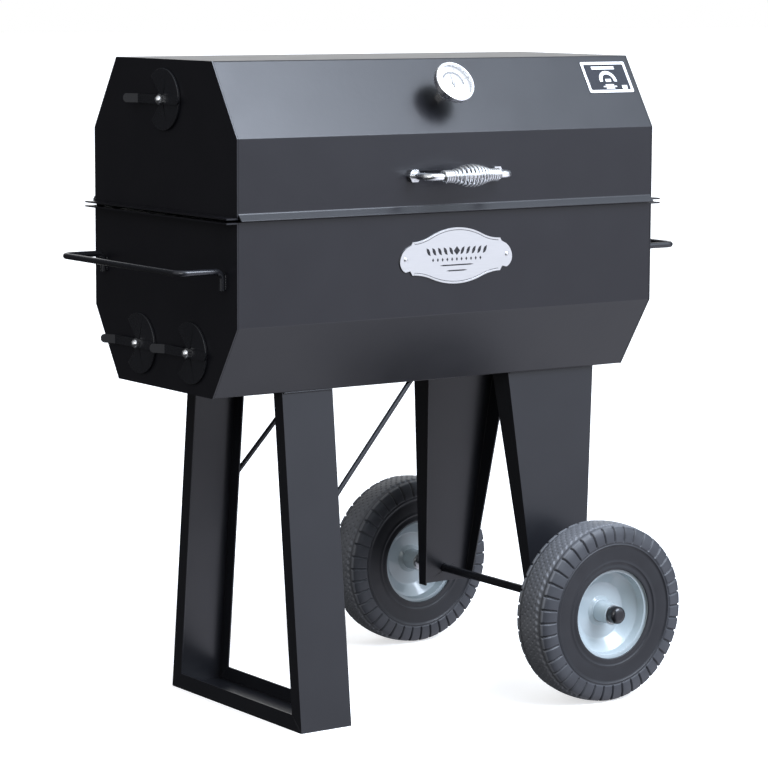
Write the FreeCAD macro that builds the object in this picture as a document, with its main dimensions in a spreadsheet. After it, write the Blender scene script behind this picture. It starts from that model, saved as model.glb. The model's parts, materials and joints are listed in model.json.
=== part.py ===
import FreeCAD, Part
import math
import os

import Sketcher

# Wheeled charcoal barbecue cooker: a folded sheet-steel firebox with a hinged lid,
# a welded foot frame on the left and two tapered legs with wheels on the right.
# Millimetres. X runs along the firebox, -Y is the front, +Z is up, and the origin
# is on the floor under the middle of the firebox.

doc = FreeCAD.newDocument("charcoal_cooker")
sheet = doc.addObject("Spreadsheet::Sheet", "Size")

SIZES = {
    # firebox and lid cross-section
    "body_length": 914.4, "plate": 2.7, "half_depth": 244.7, "floor_half": 162.8, "top_half": 163.7,
    "floor_z": 604.7, "low_knee_z": 734.6, "rim_z": 917.0, "lid_z": 922.0, "lip_z": 931.0,
    "high_knee_z": 1059.2, "top_z": 1188.7, "flange": 21.0, "lip_out": 11.0, "lip_drop": 11.0,
    "bend": 4.5, "bend_in": 1.8,
    # left foot frame
    "frame_x": 257.5, "frame_web": 107.2, "frame_flange": 29.0, "leg_plate": 3.2, "foot_half": 223.3,
    "frame_top_half": 160.0, "overrun": 5.0,
    # right legs and axle
    "axle_x": 296.0, "axle_z": 167.5, "axle_r": 7.95, "axle_half": 358.0, "axle_hole_r": 8.2,
    "tail_z": 140.0, "tail_y": 190.0, "tail_w": 57.0, "tail_flange": 22.0, "haunch_y": 152.0,
    "haunch_w": 101.0, "haunch_flange": 50.0,
    # diagonal braces
    "brace_r": 4.75, "brace_low_y": 165.0, "brace_low_z": 406.0, "brace_high_x": 28.0,
    "brace_high_y": 152.0,
    # wheels
    "wheel_y": 305.6, "tyre_r": 167.5, "tyre_half": 44.0, "tread_half": 37.0, "shoulder_r": 153.0,
    "bead_r": 80.5, "bead_half": 34.0, "waist_r": 118.0, "tread_drop": 4.0, "side_curve": 110.0,
    "crown_curve": 170.0, "bead_lip": 3.0, "shoulder_in": 1.5, "rim_r": 87.3, "rim_half": 40.0,
    "rim_plate": 2.4, "rim_edge": 2.0, "seat_r": 78.0, "seat_low_r": 76.0, "seat_low_half": 19.0,
    "step_r": 71.0, "step_half": 16.0, "disc_r": 53.0, "web_r": 50.0, "boss_r": 28.0, "boss_top_r": 24.0,
    "boss_half": 6.0, "crotch_r": 54.0, "crotch_half": 0.01, "soft_bend": 5.0, "firm_bend": 2.0,
    "hub_r": 20.0, "hub_half": 42.0, "hub_bore": 11.0, "bearing_r": 17.5, "bearing_wide": 12.0,
    "bearing_bore": 8.0, "washer_r": 16.0, "washer_wide": 2.5, "cap_r": 16.5, "cap_long": 20.0,
    "cap_skirt": 11.0, "cap_curve": 9.0, "play": 0.4,
    # carrying handles on the ends
    "grip_r": 5.55, "grip_out": 91.0, "grip_y": 205.0, "grip_z": 831.0, "grip_drop": 33.0,
    "grip_bend": 18.0, "grip_elbow": 13.0,
    # lid handle
    "pull_r": 6.35, "pull_x": 91.0, "pull_z": 985.0, "pull_out": 50.0, "pull_bend": 18.0,
    "pull_tail": 12.0, "coil_half": 63.0, "coil_end_r": 11.5, "coil_mid_r": 21.0, "coil_bore": 6.6,
    "nut_flat": 11.0, "nut_high": 8.0, "through_cut": 20.0,
    # thermometer, measured out from the sloped lid panel
    "stem_r": 6.35, "stem_long": 32.0, "probe_r": 3.0, "probe_long": 62.0, "case_r": 37.5,
    "case_high": 15.0, "case_wall": 1.5, "case_round": 6.0, "bezel_r": 39.5, "bezel_in": 33.5,
    "bezel_high": 9.0, "bezel_over": 3.5, "bezel_round": 2.5, "probe_neck": 8.0, "dial_r": 35.5,
    "dial_thick": 1.0, "dial_deep": 7.0, "glass_thick": 1.6, "needle_long": 27.0, "needle_tail": 9.0,
    "needle_thick": 0.7, "needle_wide": 2.6, "post_r": 1.0, "post_high": 2.0, "needle_bore": 1.06,
    "needle_hub": 3.6, "needle_tip": 0.4, "needle_up": 0.5,
    # dampers
    "damper_r": 55.0, "damper_thick": 5.0, "damper_hub": 15.0, "wedge_half": 46.0, "vent_r": 48.0,
    "vent_in": 20.0, "vent_from": 66.0, "vent_to": 144.0, "high_vent_z": 1118.0,
    "low_vent_z": 678.0, "vent_y": -6.0, "low_vent_y": 88.0, "tab_wide": 16.0, "tab_thick": 3.0,
    "tab_front": 58.0, "tab_flat": 80.0, "tab_tip": 26.0, "tab_lift": 15.0, "bolt_r": 4.0,
    "bolt_hole": 4.06, "bolt_head_r": 9.0, "bolt_head": 4.0, "gap": 0.3, "cap_nut_flat": 8.0,
    "cap_nut_high": 4.5, "cap_nut_dome": 5.5, "cap_nut_top": 2.0, "cap_nut_edge": 0.5,
    # hinges
    "hinge_x": 427.0, "hinge_wide": 50.0, "hinge_end": 15.0, "knuckle_r": 7.0, "pin_r": 3.5,
    "pin_hole": 3.56, "pin_y": 252.4, "pin_z": 926.0, "leaf_thick": 3.0, "leaf_low": 886.0,
    "leaf_join": 914.0, "leaf_high": 965.0, "leaf_foot": 934.5, "neck_y": 245.7, "neck_thick": 3.0,
    "pin_over": 3.0,
    # plaque and label
    "plaque_x": 5.0, "plaque_z": 837.0, "plaque_half": 124.0, "plaque_top": 39.5, "plaque_low": -37.0,
    "plaque_thick": 2.5, "plaque_crest": 56.0, "plaque_neck": 97.0, "plaque_horn": 100.0,
    "plaque_notch": 105.0, "plaque_ear": 112.0, "plaque_tip_z": -6.0, "notch_in": 3.0,
    "ear_top_bend": 30.0, "neck_top_bend": 95.0, "crest_top_bend": 127.0, "ear_low_bend": 20.0,
    "neck_low_bend": 109.0, "crest_low_bend": 148.0, "ear_top": 22.0, "ear_low": -23.0,
    "notch_top": 24.5, "notch_low": -21.0, "neck_top": 30.0, "neck_low": -29.0, "rivet_x": 112.0,
    "rivet_r": 4.0, "rivet_high": 2.2, "rivet_edge": 0.5, "rivet_curve": 5.0, "rivet_flat": 1.0,
    "label_x": 392.0, "label_up": 30.0, "label_wide": 107.0, "label_high": 67.0, "label_thick": 0.6,
    # inside
    "ledge_z": 862.0, "ledge_half": 440.0, "ledge_wide": 20.0, "ledge_thick": 3.0, "grate_half": 440.0,
    "grate_depth": 238.0, "grate_bar": 10.0, "grate_rod": 3.0, "grate_pitch": 30.0, "grate_stay": 145.0,
    "pan_half": 400.0, "pan_depth": 150.0, "pan_high": 60.0, "pan_thick": 2.0, "pan_gap": 0.5,
}
for row, (alias, value) in enumerate(SIZES.items(), start=1):
    sheet.set(f"A{row}", alias)
    sheet.set(f"B{row}", str(value))
    sheet.setAlias(f"B{row}", alias)
doc.recompute()

SLOPE_LOW = "atan((Size.half_depth - Size.floor_half) / (Size.low_knee_z - Size.floor_z))"
SLOPE_HIGH = "atan((Size.half_depth - Size.top_half) / (Size.top_z - Size.high_knee_z))"
LIP_TILT = "atan(Size.lip_out / Size.lip_drop)"
PANEL_Y = "-(Size.half_depth + Size.top_half) / 2"
PANEL_Z = "(Size.high_knee_z + Size.top_z) / 2"
CLOCKWISE, COUNTER = -1, 1
sub_parts = {}


# ---------------------------------------------------------------- helpers

def value_of(expression):
    """The number an expression gives with the sheet's present sizes."""
    result = sheet.evalExpression(str(expression))
    return float(getattr(result, "Value", result))


def keep(name, obj):
    """Registers an object as a sub-part: its label names its file."""
    obj.Label = name
    sub_parts[name] = obj
    return obj


def new_body(name):
    return doc.addObject("PartDesign::Body", name + "_body")


def bind(obj, **expressions):
    for prop, expression in expressions.items():
        obj.setExpression(prop, str(expression))


def bind_place(obj, x="0", y="0", z="0"):
    obj.setExpression("Placement.Base.x", str(x))
    obj.setExpression("Placement.Base.y", str(y))
    obj.setExpression("Placement.Base.z", str(z))


def bind_turn(obj, axis, angle):
    """Turns an object about an axis by an angle in degrees given as an expression."""
    obj.Placement = FreeCAD.Placement(obj.Placement.Base, FreeCAD.Rotation(axis, 1.0))
    obj.setExpression("Placement.Rotation.Angle", str(angle))


def new_sketch(body, name, plane, offset="0"):
    """A sketch on one of the body's own origin planes, moved along the plane's normal."""
    sketch = body.newObject("Sketcher::SketchObject", name)
    support = [f for f in body.Origin.OriginFeatures if f.Role == plane][0]
    sketch.AttachmentSupport = (support, [""])
    sketch.MapMode = "FlatFace"
    sketch.setExpression("AttachmentOffset.Base.z", str(offset))
    return sketch


def arc_between(start, end, radius, sense):
    """The shorter arc from start to end, and whether the sketcher keeps that direction."""
    chord = end - start
    half = chord.Length / 2
    rise = math.sqrt(max(radius * radius - half * half, 0.0))
    left = FreeCAD.Vector(-chord.y, chord.x, 0).normalize()
    centre = (start + end) / 2 + left * rise * sense
    first, last = (start, end) if sense == COUNTER else (end, start)
    first_angle = math.atan2(first.y - centre.y, first.x - centre.x)
    last_angle = math.atan2(last.y - centre.y, last.x - centre.x)
    circle = Part.Circle(centre, FreeCAD.Vector(0, 0, 1), radius)
    return Part.ArcOfCircle(circle, first_angle, last_angle), sense == COUNTER


def add_outline(sketch, corners):
    """Closed outline. A corner is (x, y), or (x, y, radius, sense) where an arc leaves it."""
    points = [FreeCAD.Vector(value_of(c[0]), value_of(c[1]), 0) for c in corners]
    first_geometry = sketch.GeometryCount
    begins, ends = [], []
    for index, corner in enumerate(corners):
        start, end = points[index], points[(index + 1) % len(points)]
        number = first_geometry + index
        if len(corner) == 2:
            sketch.addGeometry(Part.LineSegment(start, end), False)
            forward = True
        else:
            arc, forward = arc_between(start, end, value_of(corner[2]), corner[3])
            sketch.addGeometry(arc, False)
        begins.append((number, 1 if forward else 2))
        ends.append((number, 2 if forward else 1))
    for index, corner in enumerate(corners):
        following = begins[(index + 1) % len(corners)]
        sketch.addConstraint(Sketcher.Constraint("Coincident", *ends[index], *following))
    for index, corner in enumerate(corners):
        geometry, end_code = begins[index]
        for kind, expression in (("DistanceX", corner[0]), ("DistanceY", corner[1])):
            constraint = Sketcher.Constraint(kind, -1, 1, geometry, end_code, value_of(expression))
            number = sketch.addConstraint(constraint)
            sketch.setExpression(f"Constraints[{number}]", str(expression))
        if len(corner) > 2:
            number = sketch.addConstraint(Sketcher.Constraint("Radius", geometry, value_of(corner[2])))
            sketch.setExpression(f"Constraints[{number}]", str(corner[2]))


def add_circle(sketch, x, y, radius):
    centre = FreeCAD.Vector(value_of(x), value_of(y), 0)
    number = sketch.addGeometry(Part.Circle(centre, FreeCAD.Vector(0, 0, 1), value_of(radius)), False)
    centre_from_origin = (-1, 1, number, 3)
    constraints = (
        ("Radius", (number,), radius),
        ("DistanceX", centre_from_origin, x),
        ("DistanceY", centre_from_origin, y),
    )
    for kind, where, expression in constraints:
        index = sketch.addConstraint(Sketcher.Constraint(kind, *where, value_of(expression)))
        sketch.setExpression(f"Constraints[{index}]", str(expression))


def pad(body, sketch, length, symmetric=False, reverse=False):
    feature = body.newObject("PartDesign::Pad", sketch.Name + "_pad")
    feature.Profile = sketch
    feature.SideType = "Symmetric" if symmetric else "One side"
    feature.Reversed = reverse
    bind(feature, Length=length)
    doc.recompute()
    return feature


def pocket(body, sketch, length, reverse=False, symmetric=True):
    """Cuts the sketch out of the body and makes sure that something was cut."""
    before = body.Shape.Volume
    feature = body.newObject("PartDesign::Pocket", sketch.Name + "_pocket")
    feature.Profile = sketch
    feature.SideType = "Symmetric" if symmetric else "One side"
    feature.Reversed = reverse
    bind(feature, Length=length)
    doc.recompute()
    if body.Shape.Volume > before - 0.01:
        raise RuntimeError(f"{sketch.Name} cuts nothing")
    return feature


def revolve(body, sketch, axis="V_Axis"):
    feature = body.newObject("PartDesign::Revolution", sketch.Name + "_turned")
    feature.Profile = sketch
    feature.ReferenceAxis = (sketch, [axis])
    feature.Angle = 360
    doc.recompute()
    return feature


def round_edges(body, radius, wanted):
    """Fillets the edges of the body's tip that the test picks out."""
    base = body.Tip
    names = [f"Edge{i}" for i, edge in enumerate(base.Shape.Edges, start=1) if wanted(edge)]
    feature = body.newObject("PartDesign::Fillet", base.Name + "_round")
    feature.Base = (base, names)
    bind(feature, Radius=radius)
    doc.recompute()
    return feature


def along_x_at(points, reach=0.2):
    """Picks edges that run along X through any of the given (y, z) points."""
    def test(edge):
        box = edge.BoundBox
        if box.YLength > reach or box.ZLength > reach:
            return False
        return any(abs(box.YMin - y) < reach and abs(box.ZMin - z) < reach for y, z in points)
    return test


def ring_at(points, reach=0.2):
    """Picks the round edges of a turned body through any of the given (radius, height) points."""
    def test(edge):
        box = edge.BoundBox
        if box.ZLength > reach:
            return False
        return any(abs(box.XMax - r) < reach and abs(box.ZMax - z) < reach for r, z in points)
    return test


def block(name, x, y, z, length, width, height):
    """A box from its lowest corner."""
    obj = doc.addObject("Part::Box", name)
    bind(obj, Length=length, Width=width, Height=height)
    bind_place(obj, x, y, z)
    return obj


def bar(name, axis, x, y, z, radius, length):
    """A round bar that starts at a point and runs along +X, +Y or +Z."""
    obj = doc.addObject("Part::Cylinder", name)
    turns = {"x": (FreeCAD.Vector(0, 1, 0), 90), "y": (FreeCAD.Vector(1, 0, 0), -90)}
    if axis in turns:
        obj.Placement = FreeCAD.Placement(FreeCAD.Vector(), FreeCAD.Rotation(*turns[axis]))
    bind(obj, Radius=radius, Height=length)
    bind_place(obj, x, y, z)
    return obj


def cut(name, base, tool):
    obj = doc.addObject("Part::Cut", name)
    obj.Base = base
    obj.Tool = tool
    return obj


def fuse(name, objects):
    obj = doc.addObject("Part::MultiFuse", name)
    obj.Shapes = objects
    return obj


def group(name, objects):
    """Identical separate solids that share one node."""
    obj = doc.addObject("Part::Compound", name)
    obj.Links = objects
    return obj


def bent_rod(name, points, bends, radius):
    """Round rod along straight runs with one tangent arc at each inner point."""
    edges = []
    start = points[0]
    for before, corner, after, bend in zip(points, points[1:], points[2:], bends):
        towards = (before - corner).normalize()
        away = (after - corner).normalize()
        half_turn = math.acos(max(-1.0, min(1.0, towards.dot(away)))) / 2
        reach = bend / math.tan(half_turn)
        enter = corner + towards * reach
        leave = corner + away * reach
        middle_way = (towards + away).normalize()
        middle = corner + middle_way * (bend / math.sin(half_turn) - bend)
        edges.append(Part.LineSegment(start, enter).toShape())
        edges.append(Part.Arc(enter, middle, leave).toShape())
        start = leave
    edges.append(Part.LineSegment(start, points[-1]).toShape())
    path = Part.Wire(edges)
    profile = Part.Wire(Part.Circle(points[0], (points[1] - points[0]).normalize(), radius).toShape())
    obj = doc.addObject("Part::Feature", name)
    obj.Shape = path.makePipeShell([profile], True, False)
    obj.Placement = FreeCAD.Placement()
    return obj


# ---------------------------------------------------------------- firebox and lid

def half_width(side):
    """X of the outer face of an end plate."""
    return f"{side} * Size.body_length / 2"


def inner_face_x(side):
    """Lowest X of the end plate on that side."""
    return "Size.body_length / 2 - Size.plate" if side > 0 else "-Size.body_length / 2"


def make_firebox_shell():
    """Front, lower slopes, floor and back, folded from one sheet."""
    t = "Size.plate"
    knee_z = f"Size.low_knee_z + {t} * tan(({SLOPE_LOW}) / 2)"
    foot_y = f"(Size.floor_half - {t} * tan((90 deg - {SLOPE_LOW}) / 2))"
    wall_y = f"(Size.half_depth - {t})"
    corners = [
        ("-Size.half_depth", "Size.rim_z"), ("-Size.half_depth", "Size.low_knee_z"),
        ("-Size.floor_half", "Size.floor_z"), ("Size.floor_half", "Size.floor_z"),
        ("Size.half_depth", "Size.low_knee_z"), ("Size.half_depth", "Size.rim_z"),
        (wall_y, "Size.rim_z"), (wall_y, knee_z), (foot_y, f"Size.floor_z + {t}"),
        ("-" + foot_y, f"Size.floor_z + {t}"), ("-" + wall_y, knee_z), ("-" + wall_y, "Size.rim_z"),
    ]
    body = new_body("firebox_shell")
    sketch = new_sketch(body, "firebox_section", "YZ_Plane")
    add_outline(sketch, corners)
    pad(body, sketch, "Size.body_length - 2 * Size.plate", symmetric=True)
    outer = [(value_of(y), value_of(z)) for y, z in corners[1:5]]
    inner = [(value_of(y), value_of(z)) for y, z in corners[7:11]]
    round_edges(body, "Size.bend", along_x_at(outer))
    round_edges(body, "Size.bend_in", along_x_at(inner))
    keep("firebox_shell", body)


def make_lid_shell():
    """Front with its drip lip, upper slopes, top and back, folded from one sheet."""
    t = "Size.plate"
    knee_z = f"Size.high_knee_z - {t} * tan(({SLOPE_HIGH}) / 2)"
    top_y = f"(Size.top_half - {t} * tan((90 deg - {SLOPE_HIGH}) / 2))"
    wall_y = f"(Size.half_depth - {t})"
    tip_y = "-Size.half_depth - Size.lip_out"
    tip_z = "Size.lip_z - Size.lip_drop"
    corners = [
        (tip_y, tip_z), ("-Size.half_depth", "Size.lip_z"), ("-Size.half_depth", "Size.high_knee_z"),
        ("-Size.top_half", "Size.top_z"), ("Size.top_half", "Size.top_z"),
        ("Size.half_depth", "Size.high_knee_z"), ("Size.half_depth", "Size.lid_z"), (wall_y, "Size.lid_z"),
        (wall_y, knee_z), (top_y, f"Size.top_z - {t}"), ("-" + top_y, f"Size.top_z - {t}"),
        ("-" + wall_y, knee_z),
        ("-" + wall_y, f"Size.lip_z - {t} * tan(({LIP_TILT}) / 2)"),
        (f"{tip_y} + {t} * cos({LIP_TILT})", f"{tip_z} - {t} * sin({LIP_TILT})"),
    ]
    body = new_body("lid_shell")
    sketch = new_sketch(body, "lid_section", "YZ_Plane")
    add_outline(sketch, corners)
    pad(body, sketch, "Size.body_length - 2 * Size.plate", symmetric=True)
    outer = [(value_of(y), value_of(z)) for y, z in corners[1:6]]
    inner = [(value_of(y), value_of(z)) for y, z in corners[8:13]]
    round_edges(body, "Size.bend", along_x_at(outer))
    round_edges(body, "Size.bend_in", along_x_at(inner))
    make_lid_holes(body)
    keep("lid_shell", body)


def make_lid_holes(body):
    """Holes for the two ends of the lid handle and for the thermometer's stem."""
    holes = new_sketch(body, "lid_handle_holes", "XZ_Plane", "Size.half_depth")
    for side in (-1, 1):
        add_circle(holes, f"{side} * Size.pull_x", "Size.pull_z", "Size.pull_r")
    pocket(body, holes, "Size.through_cut")
    stem = new_sketch(body, "thermometer_hole", "XZ_Plane")
    tilt = FreeCAD.Rotation(FreeCAD.Vector(1, 0, 0), 1.0)
    stem.AttachmentOffset = FreeCAD.Placement(FreeCAD.Vector(), tilt)
    stem.setExpression("AttachmentOffset.Rotation.Angle", f"-({SLOPE_HIGH})")
    stem.setExpression("AttachmentOffset.Base.y", PANEL_Z)
    stem.setExpression("AttachmentOffset.Base.z", f"-({PANEL_Y})")
    add_circle(stem, "0", "0", "Size.stem_r")
    pocket(body, stem, "Size.through_cut")


def vent_outline(y, z):
    """Annular sector of a damper opening, about the damper's centre."""
    def at(radius, angle):
        return f"{y} + {radius} * cos({angle} * 1 deg)", f"{z} + {radius} * sin({angle} * 1 deg)"
    return [
        (*at("Size.vent_in", "Size.vent_from"),),
        (*at("Size.vent_r", "Size.vent_from"), "Size.vent_r", COUNTER),
        (*at("Size.vent_r", "Size.vent_to"),),
        (*at("Size.vent_in", "Size.vent_to"), "Size.vent_in", CLOCKWISE),
    ]


def make_end_plate(name, side, corners, flange_low, vents):
    """End plate with an outward flange along its open edge, vent openings and bolt holes."""
    body = new_body(name)
    sketch = new_sketch(body, name + "_outline", "YZ_Plane", inner_face_x(side))
    add_outline(sketch, corners)
    pad(body, sketch, "Size.plate")
    edge = new_sketch(body, name + "_flange", "XZ_Plane")
    near = f"{side} * (Size.body_length / 2 - Size.plate / 2)"
    far = f"{side} * (Size.body_length / 2 + Size.flange)"
    add_outline(edge, [(near, flange_low), (far, flange_low), (far, f"{flange_low} + Size.plate"),
                       (near, f"{flange_low} + Size.plate")])
    pad(body, edge, "2 * Size.half_depth", symmetric=True)
    openings = new_sketch(body, name + "_vents", "YZ_Plane", inner_face_x(side))
    for y, z in vents:
        add_outline(openings, vent_outline(y, z))
        add_circle(openings, y, z, "Size.bolt_r")
    pocket(body, openings, "Size.through_cut")
    keep(name, body)


LOW_VENTS = [("(Size.vent_y - Size.low_vent_y)", "Size.low_vent_z"),
             ("(Size.vent_y + Size.low_vent_y)", "Size.low_vent_z")]
HIGH_VENTS = [("Size.vent_y", "Size.high_vent_z")]


def make_end_plates():
    low = [("-Size.half_depth", "Size.rim_z"), ("-Size.half_depth", "Size.low_knee_z"),
           ("-Size.floor_half", "Size.floor_z"), ("Size.floor_half", "Size.floor_z"),
           ("Size.half_depth", "Size.low_knee_z"), ("Size.half_depth", "Size.rim_z")]
    high = [("-Size.half_depth", "Size.lid_z"), ("-Size.half_depth", "Size.high_knee_z"),
            ("-Size.top_half", "Size.top_z"), ("Size.top_half", "Size.top_z"),
            ("Size.half_depth", "Size.high_knee_z"), ("Size.half_depth", "Size.lid_z")]
    for word, side in (("left", -1), ("right", 1)):
        make_end_plate(f"{word}_end_plate", side, low, "Size.rim_z - Size.plate", LOW_VENTS)
        make_end_plate(f"lid_{word}_end", side, high, "Size.lid_z", HIGH_VENTS)


# ---------------------------------------------------------------- legs, braces and axle

LEG_LEAN = "((Size.foot_half - Size.frame_top_half) / Size.floor_z)"


def frame_line_y(side, z, inset):
    """Y of the leaning leg's outer line at a height, moved towards the middle."""
    return f"{side} * (Size.foot_half - ({z}) * {LEG_LEAN} - ({inset}))"


def make_frame_leg(name, side):
    """Leaning channel of the left frame, mitred onto the foot channel."""
    body = new_body(name)
    outline = new_sketch(body, name + "_side", "YZ_Plane", "-Size.frame_x")
    deep, t = "Size.frame_flange", "Size.leg_plate"
    add_outline(outline, [
        (frame_line_y(side, "0", "0"), "0"),
        (frame_line_y(side, "Size.floor_z", "0"), "Size.floor_z"),
        (frame_line_y(side, "Size.floor_z", deep), "Size.floor_z"),
        (frame_line_y(side, deep, deep), deep),
    ])
    pad(body, outline, "Size.frame_web", symmetric=True)
    hollow = new_sketch(body, name + "_hollow", "YZ_Plane", "-Size.frame_x")
    high, low = "Size.floor_z + Size.overrun", "-Size.overrun"
    add_outline(hollow, [
        (frame_line_y(side, low, t), low), (frame_line_y(side, high, t), high),
        (frame_line_y(side, high, f"{deep} + Size.overrun"), high),
        (frame_line_y(side, low, f"{deep} + Size.overrun"), low),
    ])
    pocket(body, hollow, "Size.frame_web - 2 * Size.leg_plate")
    keep(name, body)


def make_foot_channel():
    """Channel on the floor that joins the two leaning legs."""
    body = new_body("foot_channel")
    outline = new_sketch(body, "foot_side", "YZ_Plane", "-Size.frame_x")
    deep = "Size.frame_flange"
    corner = frame_line_y(1, deep, deep)
    add_outline(outline, [
        ("-Size.foot_half", "0"), ("Size.foot_half", "0"), (corner, deep), ("-" + corner, deep),
    ])
    pad(body, outline, "Size.frame_web", symmetric=True)
    hollow = new_sketch(body, "foot_hollow", "YZ_Plane", "-Size.frame_x")
    add_outline(hollow, [("-Size.foot_half", "Size.leg_plate"), ("Size.foot_half", "Size.leg_plate"),
                         ("Size.foot_half", f"{deep} + Size.overrun"),
                         ("-Size.foot_half", f"{deep} + Size.overrun")])
    pocket(body, hollow, "Size.frame_web - 2 * Size.leg_plate")
    keep("foot_channel", body)


def channel_section(side, half_wide, out_y, deep):
    """U-shaped section with its web outward."""
    t = "Size.leg_plate"
    xs = [f"Size.axle_x - {half_wide}", f"Size.axle_x + {half_wide}"]
    inner = [f"{xs[0]} + {t}", f"{xs[1]} - {t}"]
    face, web, lip = (f"{side} * {out_y}", f"{side} * ({out_y} - {t})", f"{side} * ({out_y} - {deep})")
    return [(xs[0], face), (xs[1], face), (xs[1], lip), (inner[1], lip),
            (inner[1], web), (inner[0], web), (inner[0], lip), (xs[0], lip)]


def make_wheel_leg(name, side):
    """Tapered channel that leans out and carries the axle near its lower end."""
    body = new_body(name)
    tail = new_sketch(body, name + "_tail", "XY_Plane", "Size.tail_z")
    add_outline(tail, channel_section(side, "Size.tail_w", "Size.tail_y", "Size.tail_flange"))
    haunch = new_sketch(body, name + "_haunch", "XY_Plane", "Size.floor_z")
    add_outline(haunch, channel_section(side, "Size.haunch_w", "Size.haunch_y", "Size.haunch_flange"))
    loft = body.newObject("PartDesign::AdditiveLoft", name + "_loft")
    loft.Profile = tail
    loft.Sections = [haunch]
    loft.Ruled = True
    doc.recompute()
    hole = new_sketch(body, name + "_axle_hole", "XZ_Plane")
    add_circle(hole, "Size.axle_x", "Size.axle_z", "Size.axle_hole_r")
    pocket(body, hole, "4 * Size.tail_y")
    keep(name, body)


def make_brace(name, side):
    """Diagonal rod from the inner flange of a frame leg up to the firebox floor."""
    low_x = value_of("-Size.frame_x + Size.frame_web / 2")
    high_x = -value_of("Size.brace_high_x")
    low = FreeCAD.Vector(low_x, side * value_of("Size.brace_low_y"), value_of("Size.brace_low_z"))
    high = FreeCAD.Vector(high_x, side * value_of("Size.brace_high_y"), value_of("Size.floor_z"))
    run = (high - low).normalize()
    spare = 20.0
    rod = doc.addObject("Part::Cylinder", name + "_rod")
    bind(rod, Radius="Size.brace_r")
    rod.Height = (high - low).Length + 2 * spare
    rod.Placement = FreeCAD.Placement(low - run * spare, FreeCAD.Rotation(FreeCAD.Vector(0, 0, 1), run))
    room = block(name + "_room", "-Size.frame_x + Size.frame_web / 2", "-Size.half_depth", "0",
                 "Size.frame_x", "2 * Size.half_depth", "Size.floor_z")
    trimmed = doc.addObject("Part::MultiCommon", name + "_trimmed")
    trimmed.Shapes = [rod, room]
    keep(name, trimmed)


def make_axle():
    whole = "2 * Size.axle_half"
    keep("axle", bar("axle_rod", "y", "Size.axle_x", "-Size.axle_half", "Size.axle_z", "Size.axle_r", whole))


def make_axle_washers():
    """Retaining washers on the inner side of each wheel."""
    inner = "Size.wheel_y - Size.hub_half - Size.play - Size.washer_wide"
    wide = "Size.washer_wide"
    rings = []
    for word, low_y in (("front", f"-({inner}) - {wide}"), ("back", inner)):
        disc = bar(f"{word}_washer_disc", "y", "Size.axle_x", low_y, "Size.axle_z", "Size.washer_r", wide)
        hole = bar(f"{word}_washer_hole", "y", "Size.axle_x", low_y, "Size.axle_z", "Size.axle_r", wide)
        rings.append(cut(f"{word}_washer", disc, hole))
    keep("axle_washers", group("washer_pair", rings))


def make_axle_caps():
    """Domed push-on caps over the axle's ends."""
    caps = []
    for side in (-1, 1):
        body = new_body(f"axle_cap{side + 1}")
        sketch = new_sketch(body, f"cap_section{side + 1}", "XZ_Plane")
        start = "Size.wheel_y + Size.hub_half + Size.play"
        socket = f"Size.axle_half - ({start})"
        add_outline(sketch, [
            ("0", socket), ("Size.axle_r", socket), ("Size.axle_r", "0"), ("Size.cap_r", "0"),
            ("Size.cap_r", "Size.cap_skirt", "Size.cap_curve", COUNTER),
            ("Size.cap_r - Size.cap_curve", "Size.cap_long"), ("0", "Size.cap_long"),
        ])
        revolve(body, sketch)
        bind_place(body, "Size.axle_x", f"{side} * ({start})", "Size.axle_z")
        bind_turn(body, FreeCAD.Vector(-side, 0, 0), "90")
        caps.append(body)
    keep("axle_caps", group("cap_pair", caps))


# ---------------------------------------------------------------- wheels

def wheel_part(node, label, side, corners, bends=()):
    """A turned wheel part: its section has the radius across and the axle direction up."""
    body = new_body(f"{node}_{label}")
    sketch = new_sketch(body, f"{node}_{label}_section", "XZ_Plane")
    add_outline(sketch, corners)
    revolve(body, sketch)
    for radius, points in bends:
        rings = [(value_of(r), sign * value_of(z)) for r, z in points for sign in (-1, 1)]
        round_edges(body, radius, ring_at(rings))
    bind_place(body, "Size.axle_x", f"{side} * Size.wheel_y", "Size.axle_z")
    bind_turn(body, FreeCAD.Vector(-side, 0, 0), "90")
    return body


def both_sides(half):
    """A closed section from its half above the wheel's middle plane, which starts at the bore."""
    below = [(r, f"-({z})") for r, z in reversed(half)]
    return half + below


def tyre_section():
    """Solid tyre: flat beads, bulged sidewalls, sloped shoulders and a crowned tread."""
    lip_r, lip_y = "Size.rim_r + Size.bead_lip", "Size.rim_half - 1"
    shoulder_y = "Size.tyre_half - Size.shoulder_in"
    crown_r = "Size.tyre_r - Size.tread_drop"
    return [
        ("Size.bead_r", "-Size.bead_half"), ("Size.rim_r", "-Size.bead_half"), (lip_r, f"-({lip_y})"),
        ("Size.waist_r", "-Size.tyre_half", "Size.side_curve", COUNTER),
        ("Size.shoulder_r", f"-({shoulder_y})"), (crown_r, "-Size.tread_half", "Size.crown_curve", COUNTER),
        (crown_r, "Size.tread_half"), ("Size.shoulder_r", shoulder_y, "Size.side_curve", COUNTER),
        ("Size.waist_r", "Size.tyre_half"), (lip_r, lip_y), ("Size.rim_r", "Size.bead_half"),
        ("Size.bead_r", "Size.bead_half"),
    ]


def disc_section():
    """Flat middle of the wheel, with a raised boss round the hub tube."""
    return both_sides([
        ("Size.hub_r", "Size.boss_half"), ("Size.boss_top_r", "Size.boss_half"),
        ("Size.boss_r", "Size.rim_plate"), ("Size.web_r", "Size.rim_plate"),
    ])


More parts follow.
